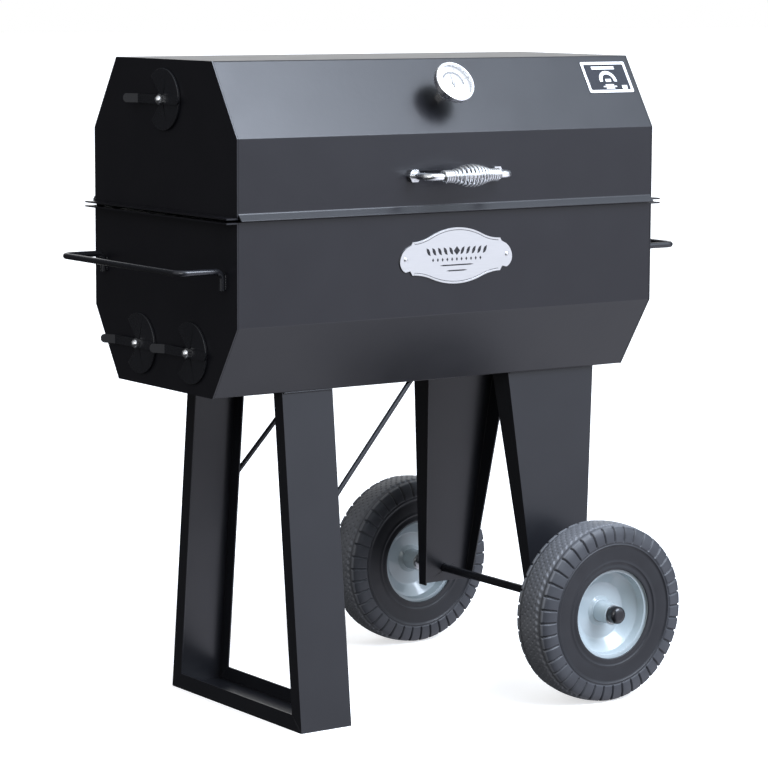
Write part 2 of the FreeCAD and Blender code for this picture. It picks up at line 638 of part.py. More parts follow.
def rim_section():
    """Rim of two pressed bowls joined back to back, from the flat disc out to the tyre's beads."""
    plate = "Size.rim_plate"
    flange = f"Size.bead_half + {plate}"
    return both_sides([
        ("Size.web_r", plate), ("Size.disc_r", plate), ("Size.step_r", "Size.step_half"),
        ("Size.seat_low_r", "Size.seat_low_half"), ("Size.seat_r", flange),
        ("Size.rim_r - Size.rim_edge", flange), ("Size.rim_r", "Size.rim_half"),
        (f"Size.rim_r + {plate} / 2", "Size.rim_half"), ("Size.rim_r", "Size.bead_half"),
        (f"Size.seat_r + {plate}", "Size.bead_half"),
        (f"Size.seat_low_r + {plate}", f"Size.seat_low_half - {plate} / 2"),
        (f"Size.step_r + {plate} / 2", f"Size.step_half - 1.25 * {plate}"),
        ("Size.crotch_r", "Size.crotch_half"),
    ])


DISC_BENDS = (("Size.firm_bend", [("Size.boss_r", "Size.rim_plate")]),)
RIM_BENDS = (
    ("Size.soft_bend", [("Size.disc_r", "Size.rim_plate"), ("Size.step_r", "Size.step_half")]),
    ("Size.firm_bend", [("Size.seat_low_r", "Size.seat_low_half")]),
)


def hub_section():
    """Hub tube with a bearing seat in each end."""
    seat = "Size.hub_half - Size.bearing_wide"
    return [
        ("Size.hub_r", "-Size.hub_half"), ("Size.hub_r", "Size.hub_half"),
        ("Size.bearing_r", "Size.hub_half"), ("Size.bearing_r", seat),
        ("Size.hub_bore", seat), ("Size.hub_bore", f"-({seat})"),
        ("Size.bearing_r", f"-({seat})"), ("Size.bearing_r", "-Size.hub_half"),
    ]


def bearing_section(end):
    low, high = ("Size.hub_half - Size.bearing_wide", "Size.hub_half")
    if end < 0:
        low, high = "-Size.hub_half", "-Size.hub_half + Size.bearing_wide"
    inner, outer = "Size.bearing_bore", "Size.bearing_r"
    return [(inner, low), (outer, low), (outer, high), (inner, high)]


def make_wheel(word, side):
    keep(f"{word}_tyre", wheel_part(word, "tyre", side, tyre_section()))
    keep(f"{word}_rim", wheel_part(word, "rim", side, rim_section(), RIM_BENDS))
    keep(f"{word}_disc", wheel_part(word, "disc", side, disc_section(), DISC_BENDS))
    keep(f"{word}_hub", wheel_part(word, "hub", side, hub_section()))
    rings = [wheel_part(word, f"bearing{end + 1}", side, bearing_section(end)) for end in (-1, 1)]
    keep(f"{word}_bearings", group(f"{word}_bearing_pair", rings))


# ---------------------------------------------------------------- handles

def make_end_handle(name, side):
    """Carrying handle: a U-shaped rod whose two ends turn down and are welded to the end plate."""
    radius = value_of("Size.grip_r")
    wall_x = side * (value_of("Size.body_length / 2") + radius)
    bar_x = side * value_of("Size.body_length / 2 + Size.grip_out")
    high_z = value_of("Size.grip_z")
    low_z = high_z - value_of("Size.grip_drop")
    reach = value_of("Size.grip_y")
    points = [
        FreeCAD.Vector(wall_x, -reach, low_z), FreeCAD.Vector(wall_x, -reach, high_z),
        FreeCAD.Vector(bar_x, -reach, high_z), FreeCAD.Vector(bar_x, reach, high_z),
        FreeCAD.Vector(wall_x, reach, high_z), FreeCAD.Vector(wall_x, reach, low_z),
    ]
    elbow, corner = value_of("Size.grip_elbow"), value_of("Size.grip_bend")
    keep(name, bent_rod(name + "_rod", points, [elbow, corner, corner, elbow], radius))


def make_lid_handle():
    """U-shaped rod through the lid's front, its barrel coil grip and four clamping nuts."""
    radius = value_of("Size.pull_r")
    front = -value_of("Size.half_depth")
    inside = front + value_of("Size.pull_tail")
    out = front - value_of("Size.pull_out")
    half, height = value_of("Size.pull_x"), value_of("Size.pull_z")
    points = [FreeCAD.Vector(-half, inside, height), FreeCAD.Vector(-half, out, height),
              FreeCAD.Vector(half, out, height), FreeCAD.Vector(half, inside, height)]
    bend = value_of("Size.pull_bend")
    keep("lid_handle_rod", bent_rod("pull_rod", points, [bend, bend], radius))
    coil = new_body("lid_handle_coil")
    section = new_sketch(coil, "coil_section", "XY_Plane")
    bulge = "(Size.coil_mid_r - Size.coil_end_r)"
    curve = f"(Size.coil_half ^ 2 + {bulge} ^ 2) / (2 * {bulge})"
    add_outline(section, [
        ("-Size.coil_half", "Size.coil_bore"), ("Size.coil_half", "Size.coil_bore"),
        ("Size.coil_half", "Size.coil_end_r", curve, COUNTER), ("-Size.coil_half", "Size.coil_end_r"),
    ])
    revolve(coil, section, "H_Axis")
    bind_place(coil, "0", "-Size.half_depth - Size.pull_out", "Size.pull_z")
    keep("lid_handle_coil", coil)
    layers = (("outer", "-Size.half_depth - Size.nut_high"), ("inner", "-Size.half_depth + Size.plate"))
    nuts = []
    for word, side in (("left", -1), ("right", 1)):
        for layer, start in layers:
            nuts.append(hex_nut(f"{word}_{layer}_pull_nut", f"{side} * Size.pull_x", start, "Size.pull_z"))
    keep("lid_handle_nuts", group("pull_nuts", nuts))


def hexagon(flat):
    """Corners of a hexagon from the distance of its sides to its middle."""
    radius = f"({flat} / cos(30 deg))"
    return [(f"{radius} * cos({60 * step} deg)", f"{radius} * sin({60 * step} deg)") for step in range(6)]


def hex_nut(name, x, y, z):
    """Plain nut on a rod that runs along Y, from its lowest Y."""
    body = new_body(name)
    sketch = new_sketch(body, name + "_flats", "XZ_Plane")
    add_outline(sketch, hexagon("Size.nut_flat"))
    add_circle(sketch, "0", "0", "Size.pull_r")
    pad(body, sketch, "Size.nut_high", reverse=True)
    bind_place(body, x, y, z)
    return body


# ---------------------------------------------------------------- thermometer

def on_panel(obj, x="0"):
    """Stands an object on the middle of the sloped lid panel, its own +Z out of the panel."""
    bind_place(obj, x, PANEL_Y, PANEL_Z)
    bind_turn(obj, FreeCAD.Vector(1, 0, 0), f"90 deg - ({SLOPE_HIGH})")


def panel_turned(name, corners):
    body = new_body(name)
    sketch = new_sketch(body, name + "_section", "XZ_Plane")
    add_outline(sketch, corners)
    revolve(body, sketch)
    on_panel(body)
    keep(name, body)


def make_thermometer():
    back, front = "Size.stem_long", "(Size.stem_long + Size.case_high)"
    neck, edge, wall = "-Size.plate - Size.probe_neck", "Size.case_round", "Size.case_wall"
    panel_turned("thermometer_case", [
        ("0", "-Size.probe_long"), ("Size.probe_r", "-Size.probe_long"), ("Size.probe_r", neck),
        ("Size.stem_r", neck), ("Size.stem_r", back), (f"Size.case_r - {edge}", back, edge, COUNTER),
        ("Size.case_r", f"{back} + {edge}"), ("Size.case_r", front), (f"Size.case_r - {wall}", front),
        (f"Size.case_r - {wall}", f"{back} + {edge}", f"{edge} - {wall}", CLOCKWISE),
        (f"Size.case_r - {edge}", f"{back} + {wall}"), ("0", f"{back} + {wall}"),
    ])
    rim, crest = f"({front} - Size.bezel_high / 2)", f"({front} + Size.bezel_over)"
    round_r = "Size.bezel_round"
    panel_turned("thermometer_bezel", [
        ("Size.case_r", rim), ("Size.bezel_r", rim),
        ("Size.bezel_r", f"{crest} - {round_r}", round_r, COUNTER),
        (f"Size.bezel_r - {round_r}", crest), ("Size.bezel_in + 1", crest),
        ("Size.bezel_in", f"{front} + 1"), ("Size.bezel_in", front), ("Size.case_r", front),
    ])
    dial = f"({front} - Size.dial_deep)"
    dial_face = f"{dial} + Size.dial_thick"
    post_tip = f"{dial_face} + Size.post_high"
    panel_turned("thermometer_dial", [
        ("0", dial), ("Size.dial_r", dial), ("Size.dial_r", dial_face),
        ("Size.post_r", dial_face), ("Size.post_r", post_tip), ("0", post_tip),
    ])
    panel_turned("thermometer_glass", [
        ("0", f"{front} - Size.glass_thick"), ("Size.dial_r", f"{front} - Size.glass_thick"),
        ("Size.dial_r", front), ("0", front),
    ])
    make_needle(f"{dial_face} + Size.needle_up")
    nut = new_body("thermometer_nut")
    flats = new_sketch(nut, "thermometer_nut_flats", "XY_Plane")
    add_outline(flats, hexagon("Size.nut_flat"))
    add_circle(flats, "0", "0", "Size.stem_r")
    pad(nut, flats, "Size.nut_high")
    on_panel(nut)
    keep("thermometer_nut", nut)


def make_needle(level):
    """Pointer with a round hub, pointing up the slope."""
    needle = new_body("thermometer_needle")
    blade = new_sketch(needle, "needle_blade", "XY_Plane", level)
    wide, tip = "Size.needle_wide / 2", "Size.needle_tip"
    add_outline(blade, [
        (f"-{wide}", "-Size.needle_tail"), (wide, "-Size.needle_tail"),
        (tip, "Size.needle_long"), (f"-{tip}", "Size.needle_long"),
    ])
    pad(needle, blade, "Size.needle_thick")
    hub = new_sketch(needle, "needle_hub", "XY_Plane", level)
    add_circle(hub, "0", "0", "Size.needle_hub")
    pad(needle, hub, "1.5 * Size.needle_thick")
    bore = new_sketch(needle, "needle_bore", "XY_Plane", level)
    add_circle(bore, "0", "0", "Size.needle_bore")
    pocket(needle, bore, "Size.through_cut")
    on_panel(needle)
    keep("thermometer_needle", needle)


# ---------------------------------------------------------------- dampers

def bind_damper_place(body, side, y, z):
    bind_place(body, half_width(side), y, z)


def make_damper_plate(name, side, y, z):
    """Disc with a wedge missing: it shuts the vent at rest and opens it when turned."""
    body = new_body(name)
    start = "Size.gap" if side > 0 else "-Size.gap - Size.damper_thick"
    sketch = new_sketch(body, name + "_outline", "YZ_Plane", start)
    along, across = "cos(Size.wedge_half * 1 deg)", "sin(Size.wedge_half * 1 deg)"
    rim_y, rim_z = f"Size.damper_r * {along}", f"Size.damper_r * {across}"
    hub_y, hub_z = f"Size.damper_hub * {along}", f"Size.damper_hub * {across}"
    add_outline(sketch, [
        (hub_y, hub_z), (rim_y, rim_z, "Size.damper_r", COUNTER),
        ("-Size.damper_r", "0", "Size.damper_r", COUNTER), (rim_y, "-" + rim_z),
        (hub_y, "-" + hub_z, "Size.damper_hub", COUNTER),
    ])
    add_circle(sketch, "0", "0", "Size.bolt_hole")
    pad(body, sketch, "Size.damper_thick")
    bind_damper_place(body, side, y, z)
    keep(name, body)


def make_damper_handle(name, side, y, z):
    """Flat bar across the disc, with its longer end bent outward as a finger tab."""
    body = new_body(name)
    sketch = new_sketch(body, name + "_profile", "XY_Plane")
    low = f"{side} * (Size.gap + Size.damper_thick)"
    high = f"{side} * (Size.gap + Size.damper_thick + Size.tab_thick)"
    tip_y = "(Size.tab_flat + Size.tab_tip)"
    rise = f"{side} * Size.tab_lift"
    add_outline(sketch, [
        (low, "-Size.tab_front"), (low, "Size.tab_flat"), (f"{low} + {rise}", tip_y),
        (f"{high} + {rise}", f"{tip_y} - 1"), (high, "Size.tab_flat - 1"), (high, "-Size.tab_front"),
    ])
    pad(body, sketch, "Size.tab_wide", symmetric=True)
    hole = new_sketch(body, name + "_hole", "YZ_Plane")
    add_circle(hole, "0", "0", "Size.bolt_hole")
    pocket(body, hole, "3 * Size.through_cut")
    half = value_of("Size.tab_wide") / 2

    def is_end_corner(edge):
        box = edge.BoundBox
        at_side = abs(abs(box.ZMin) - half) < 0.1 and box.ZLength < 0.1
        return at_side and box.YLength < 4 and (box.YMax < 0 or box.YMin > value_of("Size.tab_flat + 20"))

    round_edges(body, "Size.tab_wide / 2 - 0.6", is_end_corner)
    bind_damper_place(body, side, y, z)
    keep(name, body)


def damper_bolt(name, side, y, z):
    """Round-headed bolt from inside the end plate out to its cap nut."""
    body = new_body(name)
    sketch = new_sketch(body, name + "_section", "XZ_Plane")
    tip = "Size.plate + 2 * Size.gap + Size.damper_thick + Size.tab_thick"
    add_outline(sketch, [
        ("0", "-Size.bolt_head"), ("Size.bolt_head_r - 3", "-Size.bolt_head"), ("Size.bolt_head_r", "-1"),
        ("Size.bolt_head_r", "0"), ("Size.bolt_r", "0"), ("Size.bolt_r", tip), ("0", tip),
    ])
    revolve(body, sketch)
    bind_place(body, f"{side} * (Size.body_length / 2 - Size.plate)", y, z)
    bind_turn(body, FreeCAD.Vector(0, side, 0), "90")
    return body


def cap_nut(name, side, y, z):
    """Hexagonal nut with a dome, its axis along X."""
    body = new_body(name)
    sketch = new_sketch(body, name + "_flats", "XY_Plane")
    add_outline(sketch, hexagon("Size.cap_nut_flat"))
    pad(body, sketch, "Size.cap_nut_high")
    dome = new_sketch(body, name + "_dome", "XZ_Plane")
    top = "Size.cap_nut_high + Size.cap_nut_dome"
    reach = "(Size.cap_nut_flat - Size.cap_nut_edge)"
    add_outline(dome, [
        ("0", "Size.cap_nut_high - 1"), (reach, "Size.cap_nut_high - 1"),
        (reach, "Size.cap_nut_high", "Size.cap_nut_flat", COUNTER), ("Size.cap_nut_top", top), ("0", top),
    ])
    revolve(body, dome)
    start = "Size.body_length / 2 + 2 * Size.gap + Size.damper_thick + Size.tab_thick"
    bind_place(body, f"{side} * ({start})", y, z)
    bind_turn(body, FreeCAD.Vector(0, side, 0), "90")
    return body


def make_dampers():
    """Three dampers on each end: one high in the lid and two low in the firebox."""
    low_bolts, low_nuts, high_bolts, high_nuts = [], [], [], []
    for word, side in (("left", -1), ("right", 1)):
        places = (("top", HIGH_VENTS[0]), ("front", LOW_VENTS[0]), ("back", LOW_VENTS[1]))
        for where, (y, z) in places:
            name = f"{word}_{where}_damper"
            make_damper_plate(name, side, y, z)
            make_damper_handle(name + "_handle", side, y, z)
            bolts, nuts = (high_bolts, high_nuts) if where == "top" else (low_bolts, low_nuts)
            bolts.append(damper_bolt(name + "_bolt", side, y, z))
            nuts.append(cap_nut(name + "_nut", side, y, z))
    keep("damper_bolts", group("low_bolts", low_bolts))
    keep("damper_cap_nuts", group("low_nuts", low_nuts))
    keep("lid_damper_bolts", group("high_bolts", high_bolts))
    keep("lid_damper_cap_nuts", group("high_nuts", high_nuts))


# ---------------------------------------------------------------- hinges

def knuckle(name, start_x, wide):
    """Round knuckle on the pin's axis."""
    return bar(name, "x", start_x, "Size.pin_y", "Size.pin_z", "Size.knuckle_r", wide)


def drilled(name, solid, start_x):
    hole = bar(name + "_bore", "x", start_x, "Size.pin_y", "Size.pin_z", "Size.pin_hole", "Size.hinge_wide")
    return cut(name, solid, hole)


def make_hinges():
    """Two butt hinges on the back: outer knuckles on the firebox, middle knuckle on the lid."""
    low_leaves, high_leaves, pins = [], [], []
    for tag, side in (("a", -1), ("b", 1)):
        left = f"({side} * Size.hinge_x - Size.hinge_wide / 2)"
        right = f"({left} + Size.hinge_wide - Size.hinge_end)"
        pieces = [block(f"low_leaf_{tag}", left, "Size.half_depth", "Size.leaf_low",
                        "Size.hinge_wide", "Size.leaf_thick", "Size.leaf_join - Size.leaf_low")]
        for number, start in enumerate((left, right)):
            pieces.append(knuckle(f"low_knuckle_{tag}{number}", start, "Size.hinge_end"))
            pieces.append(block(f"low_neck_{tag}{number}", start, "Size.neck_y", "Size.leaf_join - 6",
                                "Size.hinge_end", "Size.neck_thick", "Size.pin_z - Size.leaf_join + 6"))
        low_leaves.append(drilled(f"low_hinge_{tag}", fuse(f"low_hinge_solid_{tag}", pieces), left))
        middle = f"({left} + Size.hinge_end + Size.play)"
        middle_wide = "Size.hinge_wide - 2 * Size.hinge_end - 2 * Size.play"
        plate = block(f"high_leaf_{tag}", left, "Size.half_depth", "Size.leaf_foot",
                      "Size.hinge_wide", "Size.leaf_thick", "Size.leaf_high - Size.leaf_foot")
        neck = block(f"high_neck_{tag}", middle, "Size.half_depth", "Size.pin_z",
                     middle_wide, "Size.leaf_thick", "Size.leaf_foot - Size.pin_z + 1")
        lid_knuckle = knuckle(f"high_knuckle_{tag}", middle, middle_wide)
        solid = fuse(f"high_hinge_solid_{tag}", [plate, neck, lid_knuckle])
        high_leaves.append(drilled(f"high_hinge_{tag}", solid, left))
        pins.append(bar(f"pin_{tag}", "x", f"{left} - Size.pin_over", "Size.pin_y", "Size.pin_z",
                        "Size.pin_r", "Size.hinge_wide + 2 * Size.pin_over"))
    keep("hinge_body_leaves", group("low_hinges", low_leaves))
    keep("hinge_lid_leaves", group("high_hinges", high_leaves))
    keep("hinge_pins", group("hinge_pin_pair", pins))


# ---------------------------------------------------------------- plaque and label

def make_nameplate():
    """Blank ogee plaque on the front, held by two rivets."""
    body = new_body("nameplate")
    sketch = new_sketch(body, "nameplate_outline", "XZ_Plane", "Size.half_depth")
    tip, ear, notch, horn = "Size.plaque_half", "Size.plaque_ear", "Size.plaque_notch", "Size.plaque_horn"
    neck, crest = "Size.plaque_neck", "Size.plaque_crest"
    top_left = [
        (f"-{tip}", "Size.plaque_tip_z", "Size.ear_top_bend", CLOCKWISE),
        (f"-{notch}", "Size.ear_top"), (f"-{horn}", "Size.notch_top"),
        (f"-{neck}", "Size.neck_top", "Size.neck_top_bend", COUNTER),
        (f"-{crest}", "Size.plaque_top", "Size.crest_top_bend", CLOCKWISE),
    ]
    top_right = [
        (crest, "Size.plaque_top", "Size.neck_top_bend", COUNTER), (neck, "Size.neck_top"),
        (horn, "Size.notch_top"), (notch, "Size.ear_top", "Size.ear_top_bend", CLOCKWISE),
    ]
    low_right = [
        (tip, "Size.plaque_tip_z", "Size.ear_low_bend", CLOCKWISE), (ear, "Size.ear_low"),
        (f"{notch} - Size.notch_in", "Size.notch_low"),
        (neck, "Size.neck_low", "Size.neck_low_bend", COUNTER),
        (crest, "Size.plaque_low", "Size.crest_low_bend", CLOCKWISE),
    ]
    low_left = [
        (f"-{crest}", "Size.plaque_low", "Size.neck_low_bend", COUNTER), (f"-{neck}", "Size.neck_low"),
        (f"Size.notch_in - {notch}", "Size.notch_low"),
        (f"-{ear}", "Size.ear_low", "Size.ear_low_bend", CLOCKWISE),
    ]
    add_outline(sketch, top_left + top_right + low_right + low_left)
    pad(body, sketch, "Size.plaque_thick")
    bind_place(body, "Size.plaque_x", "0", "Size.plaque_z")
    keep("nameplate", body)
    face_y = "-Size.half_depth - Size.plaque_thick"
    rivets = []
    for word, side in (("left", -1), ("right", 1)):
        rivet = new_body(f"{word}_plaque_rivet")
        section = new_sketch(rivet, f"{word}_rivet_section", "XZ_Plane")
        add_outline(section, [
            ("0", "0"), ("Size.rivet_r", "0"),
            ("Size.rivet_r", "Size.rivet_edge", "Size.rivet_curve", COUNTER),
            ("Size.rivet_flat", "Size.rivet_high"), ("0", "Size.rivet_high"),
        ])
        revolve(rivet, section)
        bind_place(rivet, f"Size.plaque_x + {side} * Size.rivet_x", face_y, "Size.plaque_z")
        bind_turn(rivet, FreeCAD.Vector(1, 0, 0), "90")
        rivets.append(rivet)
    keep("nameplate_rivets", group("plaque_rivets", rivets))


def make_label():
    """Blank printed label on the sloped lid panel."""
    body = new_body("lid_label")
    sketch = new_sketch(body, "label_outline", "XY_Plane")
    wide = "Size.label_wide / 2"
    low, high = "Size.label_up - Size.label_high / 2", "Size.label_up + Size.label_high / 2"
    add_outline(sketch, [(f"-{wide}", low), (wide, low), (wide, high), (f"-{wide}", high)])
    pad(body, sketch, "Size.label_thick")
    on_panel(body, "Size.label_x")
    keep("lid_label", body)


# ---------------------------------------------------------------- inside

def make_grate_ledges():
    """Two angle rails welded inside the front and back walls."""
    rails = []
    for side in (-1, 1):
        wall = "(Size.half_depth - Size.plate)"
        flat_y = f"-{wall}" if side < 0 else f"{wall} - Size.ledge_wide"
        upright_y = f"-{wall}" if side < 0 else f"{wall} - Size.ledge_thick"
        flat = block(f"ledge_flat{side + 1}", "-Size.ledge_half", flat_y, "Size.ledge_z - Size.ledge_thick",
                     "2 * Size.ledge_half", "Size.ledge_wide", "Size.ledge_thick")
        upright = block(f"ledge_web{side + 1}", "-Size.ledge_half", upright_y,
                        "Size.ledge_z - Size.ledge_wide",
                        "2 * Size.ledge_half", "Size.ledge_thick", "Size.ledge_wide")
        rails.append(fuse(f"ledge{side + 1}", [flat, upright]))
    keep("grate_ledges", group("ledge_pair", rails))


def make_cooking_grate():
    """Welded frame of square bars with round cross rods, which lies on the ledges."""
    low, bar_wide = "Size.ledge_z + Size.gap", "Size.grate_bar"
    long_run, short_run = "2 * Size.grate_half", "2 * Size.grate_depth"
    pieces = []
    for tag, place in (("front", "-Size.grate_depth"), ("back", f"Size.grate_depth - {bar_wide}"),
                       ("stay_a", f"-Size.grate_stay - {bar_wide} / 2"), ("stay_b", f"-{bar_wide} / 2"),
                       ("stay_c", f"Size.grate_stay - {bar_wide} / 2")):
        pieces.append(block(f"grate_{tag}", "-Size.grate_half", place, low, long_run, bar_wide, bar_wide))
    for tag, place in (("left", "-Size.grate_half"), ("right", f"Size.grate_half - {bar_wide}")):
        pieces.append(block(f"grate_{tag}", place, "-Size.grate_depth", low, bar_wide, short_run, bar_wide))
    count = int(value_of(long_run) / value_of("Size.grate_pitch"))
    for number in range(1, count):
        place = f"-Size.grate_half + {number} * {long_run} / {count}"
        pieces.append(bar(f"grate_rod{number}", "y", place, f"-Size.grate_depth + {bar_wide} / 2",
                          f"{low} + {bar_wide} / 2", "Size.grate_rod", f"{short_run} - {bar_wide}"))
    keep("cooking_grate", fuse("grate_bars", pieces))


def make_charcoal_pan():
    """Open tray for the charcoal, on the firebox floor."""
    low = "Size.floor_z + Size.plate + Size.pan_gap"
    outside = block("pan_outside", "-Size.pan_half", "-Size.pan_depth", low,
                    "2 * Size.pan_half", "2 * Size.pan_depth", "Size.pan_high")
    inside = block("pan_inside", "-Size.pan_half + Size.pan_thick", "-Size.pan_depth + Size.pan_thick",
                   f"{low} + Size.pan_thick", "2 * (Size.pan_half - Size.pan_thick)",
                   "2 * (Size.pan_depth - Size.pan_thick)", "Size.pan_high")
    keep("charcoal_pan", cut("pan_tray", outside, inside))


# ---------------------------------------------------------------- build and export

make_firebox_shell()
make_lid_shell()
make_end_plates()
for leg_name, leg_side in (("front_left_leg", -1), ("back_left_leg", 1)):
    make_frame_leg(leg_name, leg_side)
make_foot_channel()
for leg_name, leg_side in (("front_right_leg", -1), ("back_right_leg", 1)):
    make_wheel_leg(leg_name, leg_side)
for brace_name, brace_side in (("front_brace", -1), ("back_brace", 1)):
    make_brace(brace_name, brace_side)
make_axle()
make_axle_washers()
make_axle_caps()
make_wheel("front_wheel", -1)
make_wheel("back_wheel", 1)
make_end_handle("left_end_handle", -1)
make_end_handle("right_end_handle", 1)
make_lid_handle()
make_thermometer()
make_dampers()
make_hinges()
make_nameplate()
make_label()
make_grate_ledges()
make_cooking_grate()
make_charcoal_pan()
doc.recompute()

for made in doc.Objects:
    if {"Invalid", "Error"} & set(made.State):
        raise RuntimeError(f"{made.Label} failed: {made.State}")
os.makedirs("parts", exist_ok=True)
for node, sub_part in sub_parts.items():
    if sub_part.Shape.isNull() or not sub_part.Shape.isValid():
        raise RuntimeError(f"{node} has no valid shape")
    sub_part.Shape.exportStep(f"parts/{node}.step")
print(len(sub_parts), "sub-parts written")
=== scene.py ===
import json
import math

import bmesh
import bpy
import numpy as np
from mathutils import Matrix, Vector


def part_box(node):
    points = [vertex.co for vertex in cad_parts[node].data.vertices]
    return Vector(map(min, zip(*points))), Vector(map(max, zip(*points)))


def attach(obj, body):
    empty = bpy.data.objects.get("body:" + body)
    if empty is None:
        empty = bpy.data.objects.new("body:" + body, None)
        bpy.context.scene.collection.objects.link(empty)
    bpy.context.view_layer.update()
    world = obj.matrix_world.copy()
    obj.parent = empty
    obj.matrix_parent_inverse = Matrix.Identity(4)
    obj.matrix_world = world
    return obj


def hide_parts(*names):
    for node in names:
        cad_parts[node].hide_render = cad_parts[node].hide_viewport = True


# Looks of a wheeled charcoal barbecue cooker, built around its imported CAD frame.
# Metres: X runs along the firebox, -Y is the front, +Z is up.

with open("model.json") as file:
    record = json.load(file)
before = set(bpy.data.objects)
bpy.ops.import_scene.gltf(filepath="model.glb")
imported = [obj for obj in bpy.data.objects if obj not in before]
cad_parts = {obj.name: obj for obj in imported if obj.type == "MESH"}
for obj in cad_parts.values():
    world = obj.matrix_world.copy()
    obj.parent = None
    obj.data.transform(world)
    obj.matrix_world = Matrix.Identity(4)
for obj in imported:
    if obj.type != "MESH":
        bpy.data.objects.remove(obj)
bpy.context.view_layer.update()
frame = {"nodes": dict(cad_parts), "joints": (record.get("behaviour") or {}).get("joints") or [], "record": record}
NODES = frame["nodes"]
JOINTS = {joint["name"]: joint for joint in frame["joints"]}
MM = 0.001
TAU = 2 * math.pi


# ---------------------------------------------------------------- material helpers

def set_range(node, start, end, low, high):
    """Makes a Map Range node ease from low to high while its value goes from start to end."""
    node.interpolation_type = "SMOOTHSTEP"
    for socket, number in (("From Min", start), ("From Max", end), ("To Min", low), ("To Max", high)):
        node.inputs[socket].default_value = number


class Shader:
    """One Principled material and short calls for the nodes that feed it."""

    def __init__(self, name, colour, roughness, metallic=0.0, **constants):
        self.material = bpy.data.materials.new(name)
        self.material.use_nodes = True
        self.tree = self.material.node_tree
        self.surface = self.tree.nodes["Principled BSDF"]
        self.surface.inputs["Base Color"].default_value = (*colour, 1.0)
        self.surface.inputs["Roughness"].default_value = roughness
        self.surface.inputs["Metallic"].default_value = metallic
        for socket, value in constants.items():
            self.surface.inputs[socket.replace("_", " ")].default_value = value
        self.place = self.tree.nodes.new("ShaderNodeTexCoord").outputs["Object"]

    def link(self, output, node, socket):
        self.tree.links.new(output, node.inputs[socket])

    def noise(self, scale, detail=2.0, stretch=(1.0, 1.0, 1.0)):
        """Noise from 0 to 1; scale is in cells per metre, stretch lengthens the cells."""
        mapping = self.tree.nodes.new("ShaderNodeMapping")
        mapping.inputs["Scale"].default_value = [1.0 / s for s in stretch]
        self.link(self.place, mapping, "Vector")
        node = self.tree.nodes.new("ShaderNodeTexNoise")
        node.inputs["Scale"].default_value = scale
        node.inputs["Detail"].default_value = detail
        self.link(mapping.outputs["Vector"], node, "Vector")
        return node.outputs["Fac"]

    def spread(self, value, low, high, start=0.3, end=0.7):
        """Eases a value from start..end onto low..high; a noise keeps mostly to 0.3..0.7."""
        node = self.tree.nodes.new("ShaderNodeMapRange")
        set_range(node, start, end, low, high)
        self.link(value, node, "Value")
        return node.outputs["Result"]

    def blend(self, value, first, second):
        """Colour between two colours, each of them given as numbers or as a node's output."""
        node = self.tree.nodes.new("ShaderNodeMix")
        node.data_type = "RGBA"
        self.link(value, node, "Factor")
        sockets = [socket for socket in node.inputs if socket.type == "RGBA"]
        for socket, colour in zip(sockets, (first, second)):
            if isinstance(colour, tuple):
                socket.default_value = (*colour, 1.0)
            else:
                self.tree.links.new(colour, socket)
        return [out for out in node.outputs if out.type == "RGBA"][0]

    def colour_from(self, output):
        self.link(output, self.surface, "Base Color")

    def roughness_from(self, output):
        self.link(output, self.surface, "Roughness")

    def relief(self, *layers):
        """Stacks bumps; each layer is (height output, depth in metres)."""
        normal = None
        for height, depth in layers:
            node = self.tree.nodes.new("ShaderNodeBump")
            node.inputs["Distance"].default_value = depth
            node.inputs["Strength"].default_value = 1.0
            self.link(height, node, "Height")
            if normal is not None:
                self.link(normal, node, "Normal")
            normal = node.outputs["Normal"]
        self.link(normal, self.surface, "Normal")


# ---------------------------------------------------------------- materials

def powder_paint(name, dark, light, rough_low, rough_high):
    """Sprayed and baked black paint with a faint orange peel."""
    grain = 0.00002
    shader = Shader(name, dark, rough_high, Specular_IOR_Level=0.5)
    shader.colour_from(shader.blend(shader.noise(7.0, 2.0), dark, light))
    shader.roughness_from(shader.spread(shader.noise(16.0, 1.0), rough_low, rough_high, 0.2, 0.8))
    shader.relief((shader.noise(90.0, 1.0), 4 * grain), (shader.noise(650.0, 2.0), grain))
    return shader.material


def polished_metal(name, colour, rough_low, rough_high, ripple=0.0):
    """Bright plated metal with faint smears."""
    shader = Shader(name, colour, rough_high, metallic=1.0)
    tarnish = tuple(0.9 * c for c in colour)
    shader.colour_from(shader.blend(shader.noise(60.0, 3.0), tarnish, colour))
    shader.roughness_from(shader.spread(shader.noise(220.0, 4.0), rough_low, rough_high))
    shader.relief((shader.noise(300.0, 2.0), 0.00001 + ripple))
    return shader.material


def brushed_plate(name, colour):
    """Aluminium sheet brushed along its length."""
    shader = Shader(name, colour, 0.35, metallic=1.0)
    lines = shader.noise(2600.0, 2.0, stretch=(60.0, 1.0, 1.0))
    dull = tuple(0.93 * c for c in colour)
    shader.colour_from(shader.blend(shader.spread(lines, 0.0, 1.0, 0.2, 0.8), dull, colour))
    shader.roughness_from(shader.spread(lines, 0.34, 0.42, 0.2, 0.8))
    shader.relief((lines, 0.000004))
    return shader.material


# Radii, in metres, between which the tyre's colour turns from the dark sidewall to the paler lugs and tread, which
# are painted light
SIDEWALL_TO_LUGS = (0.128, 0.136)
LUGS_TO_TREAD = (0.1615, 0.1635)


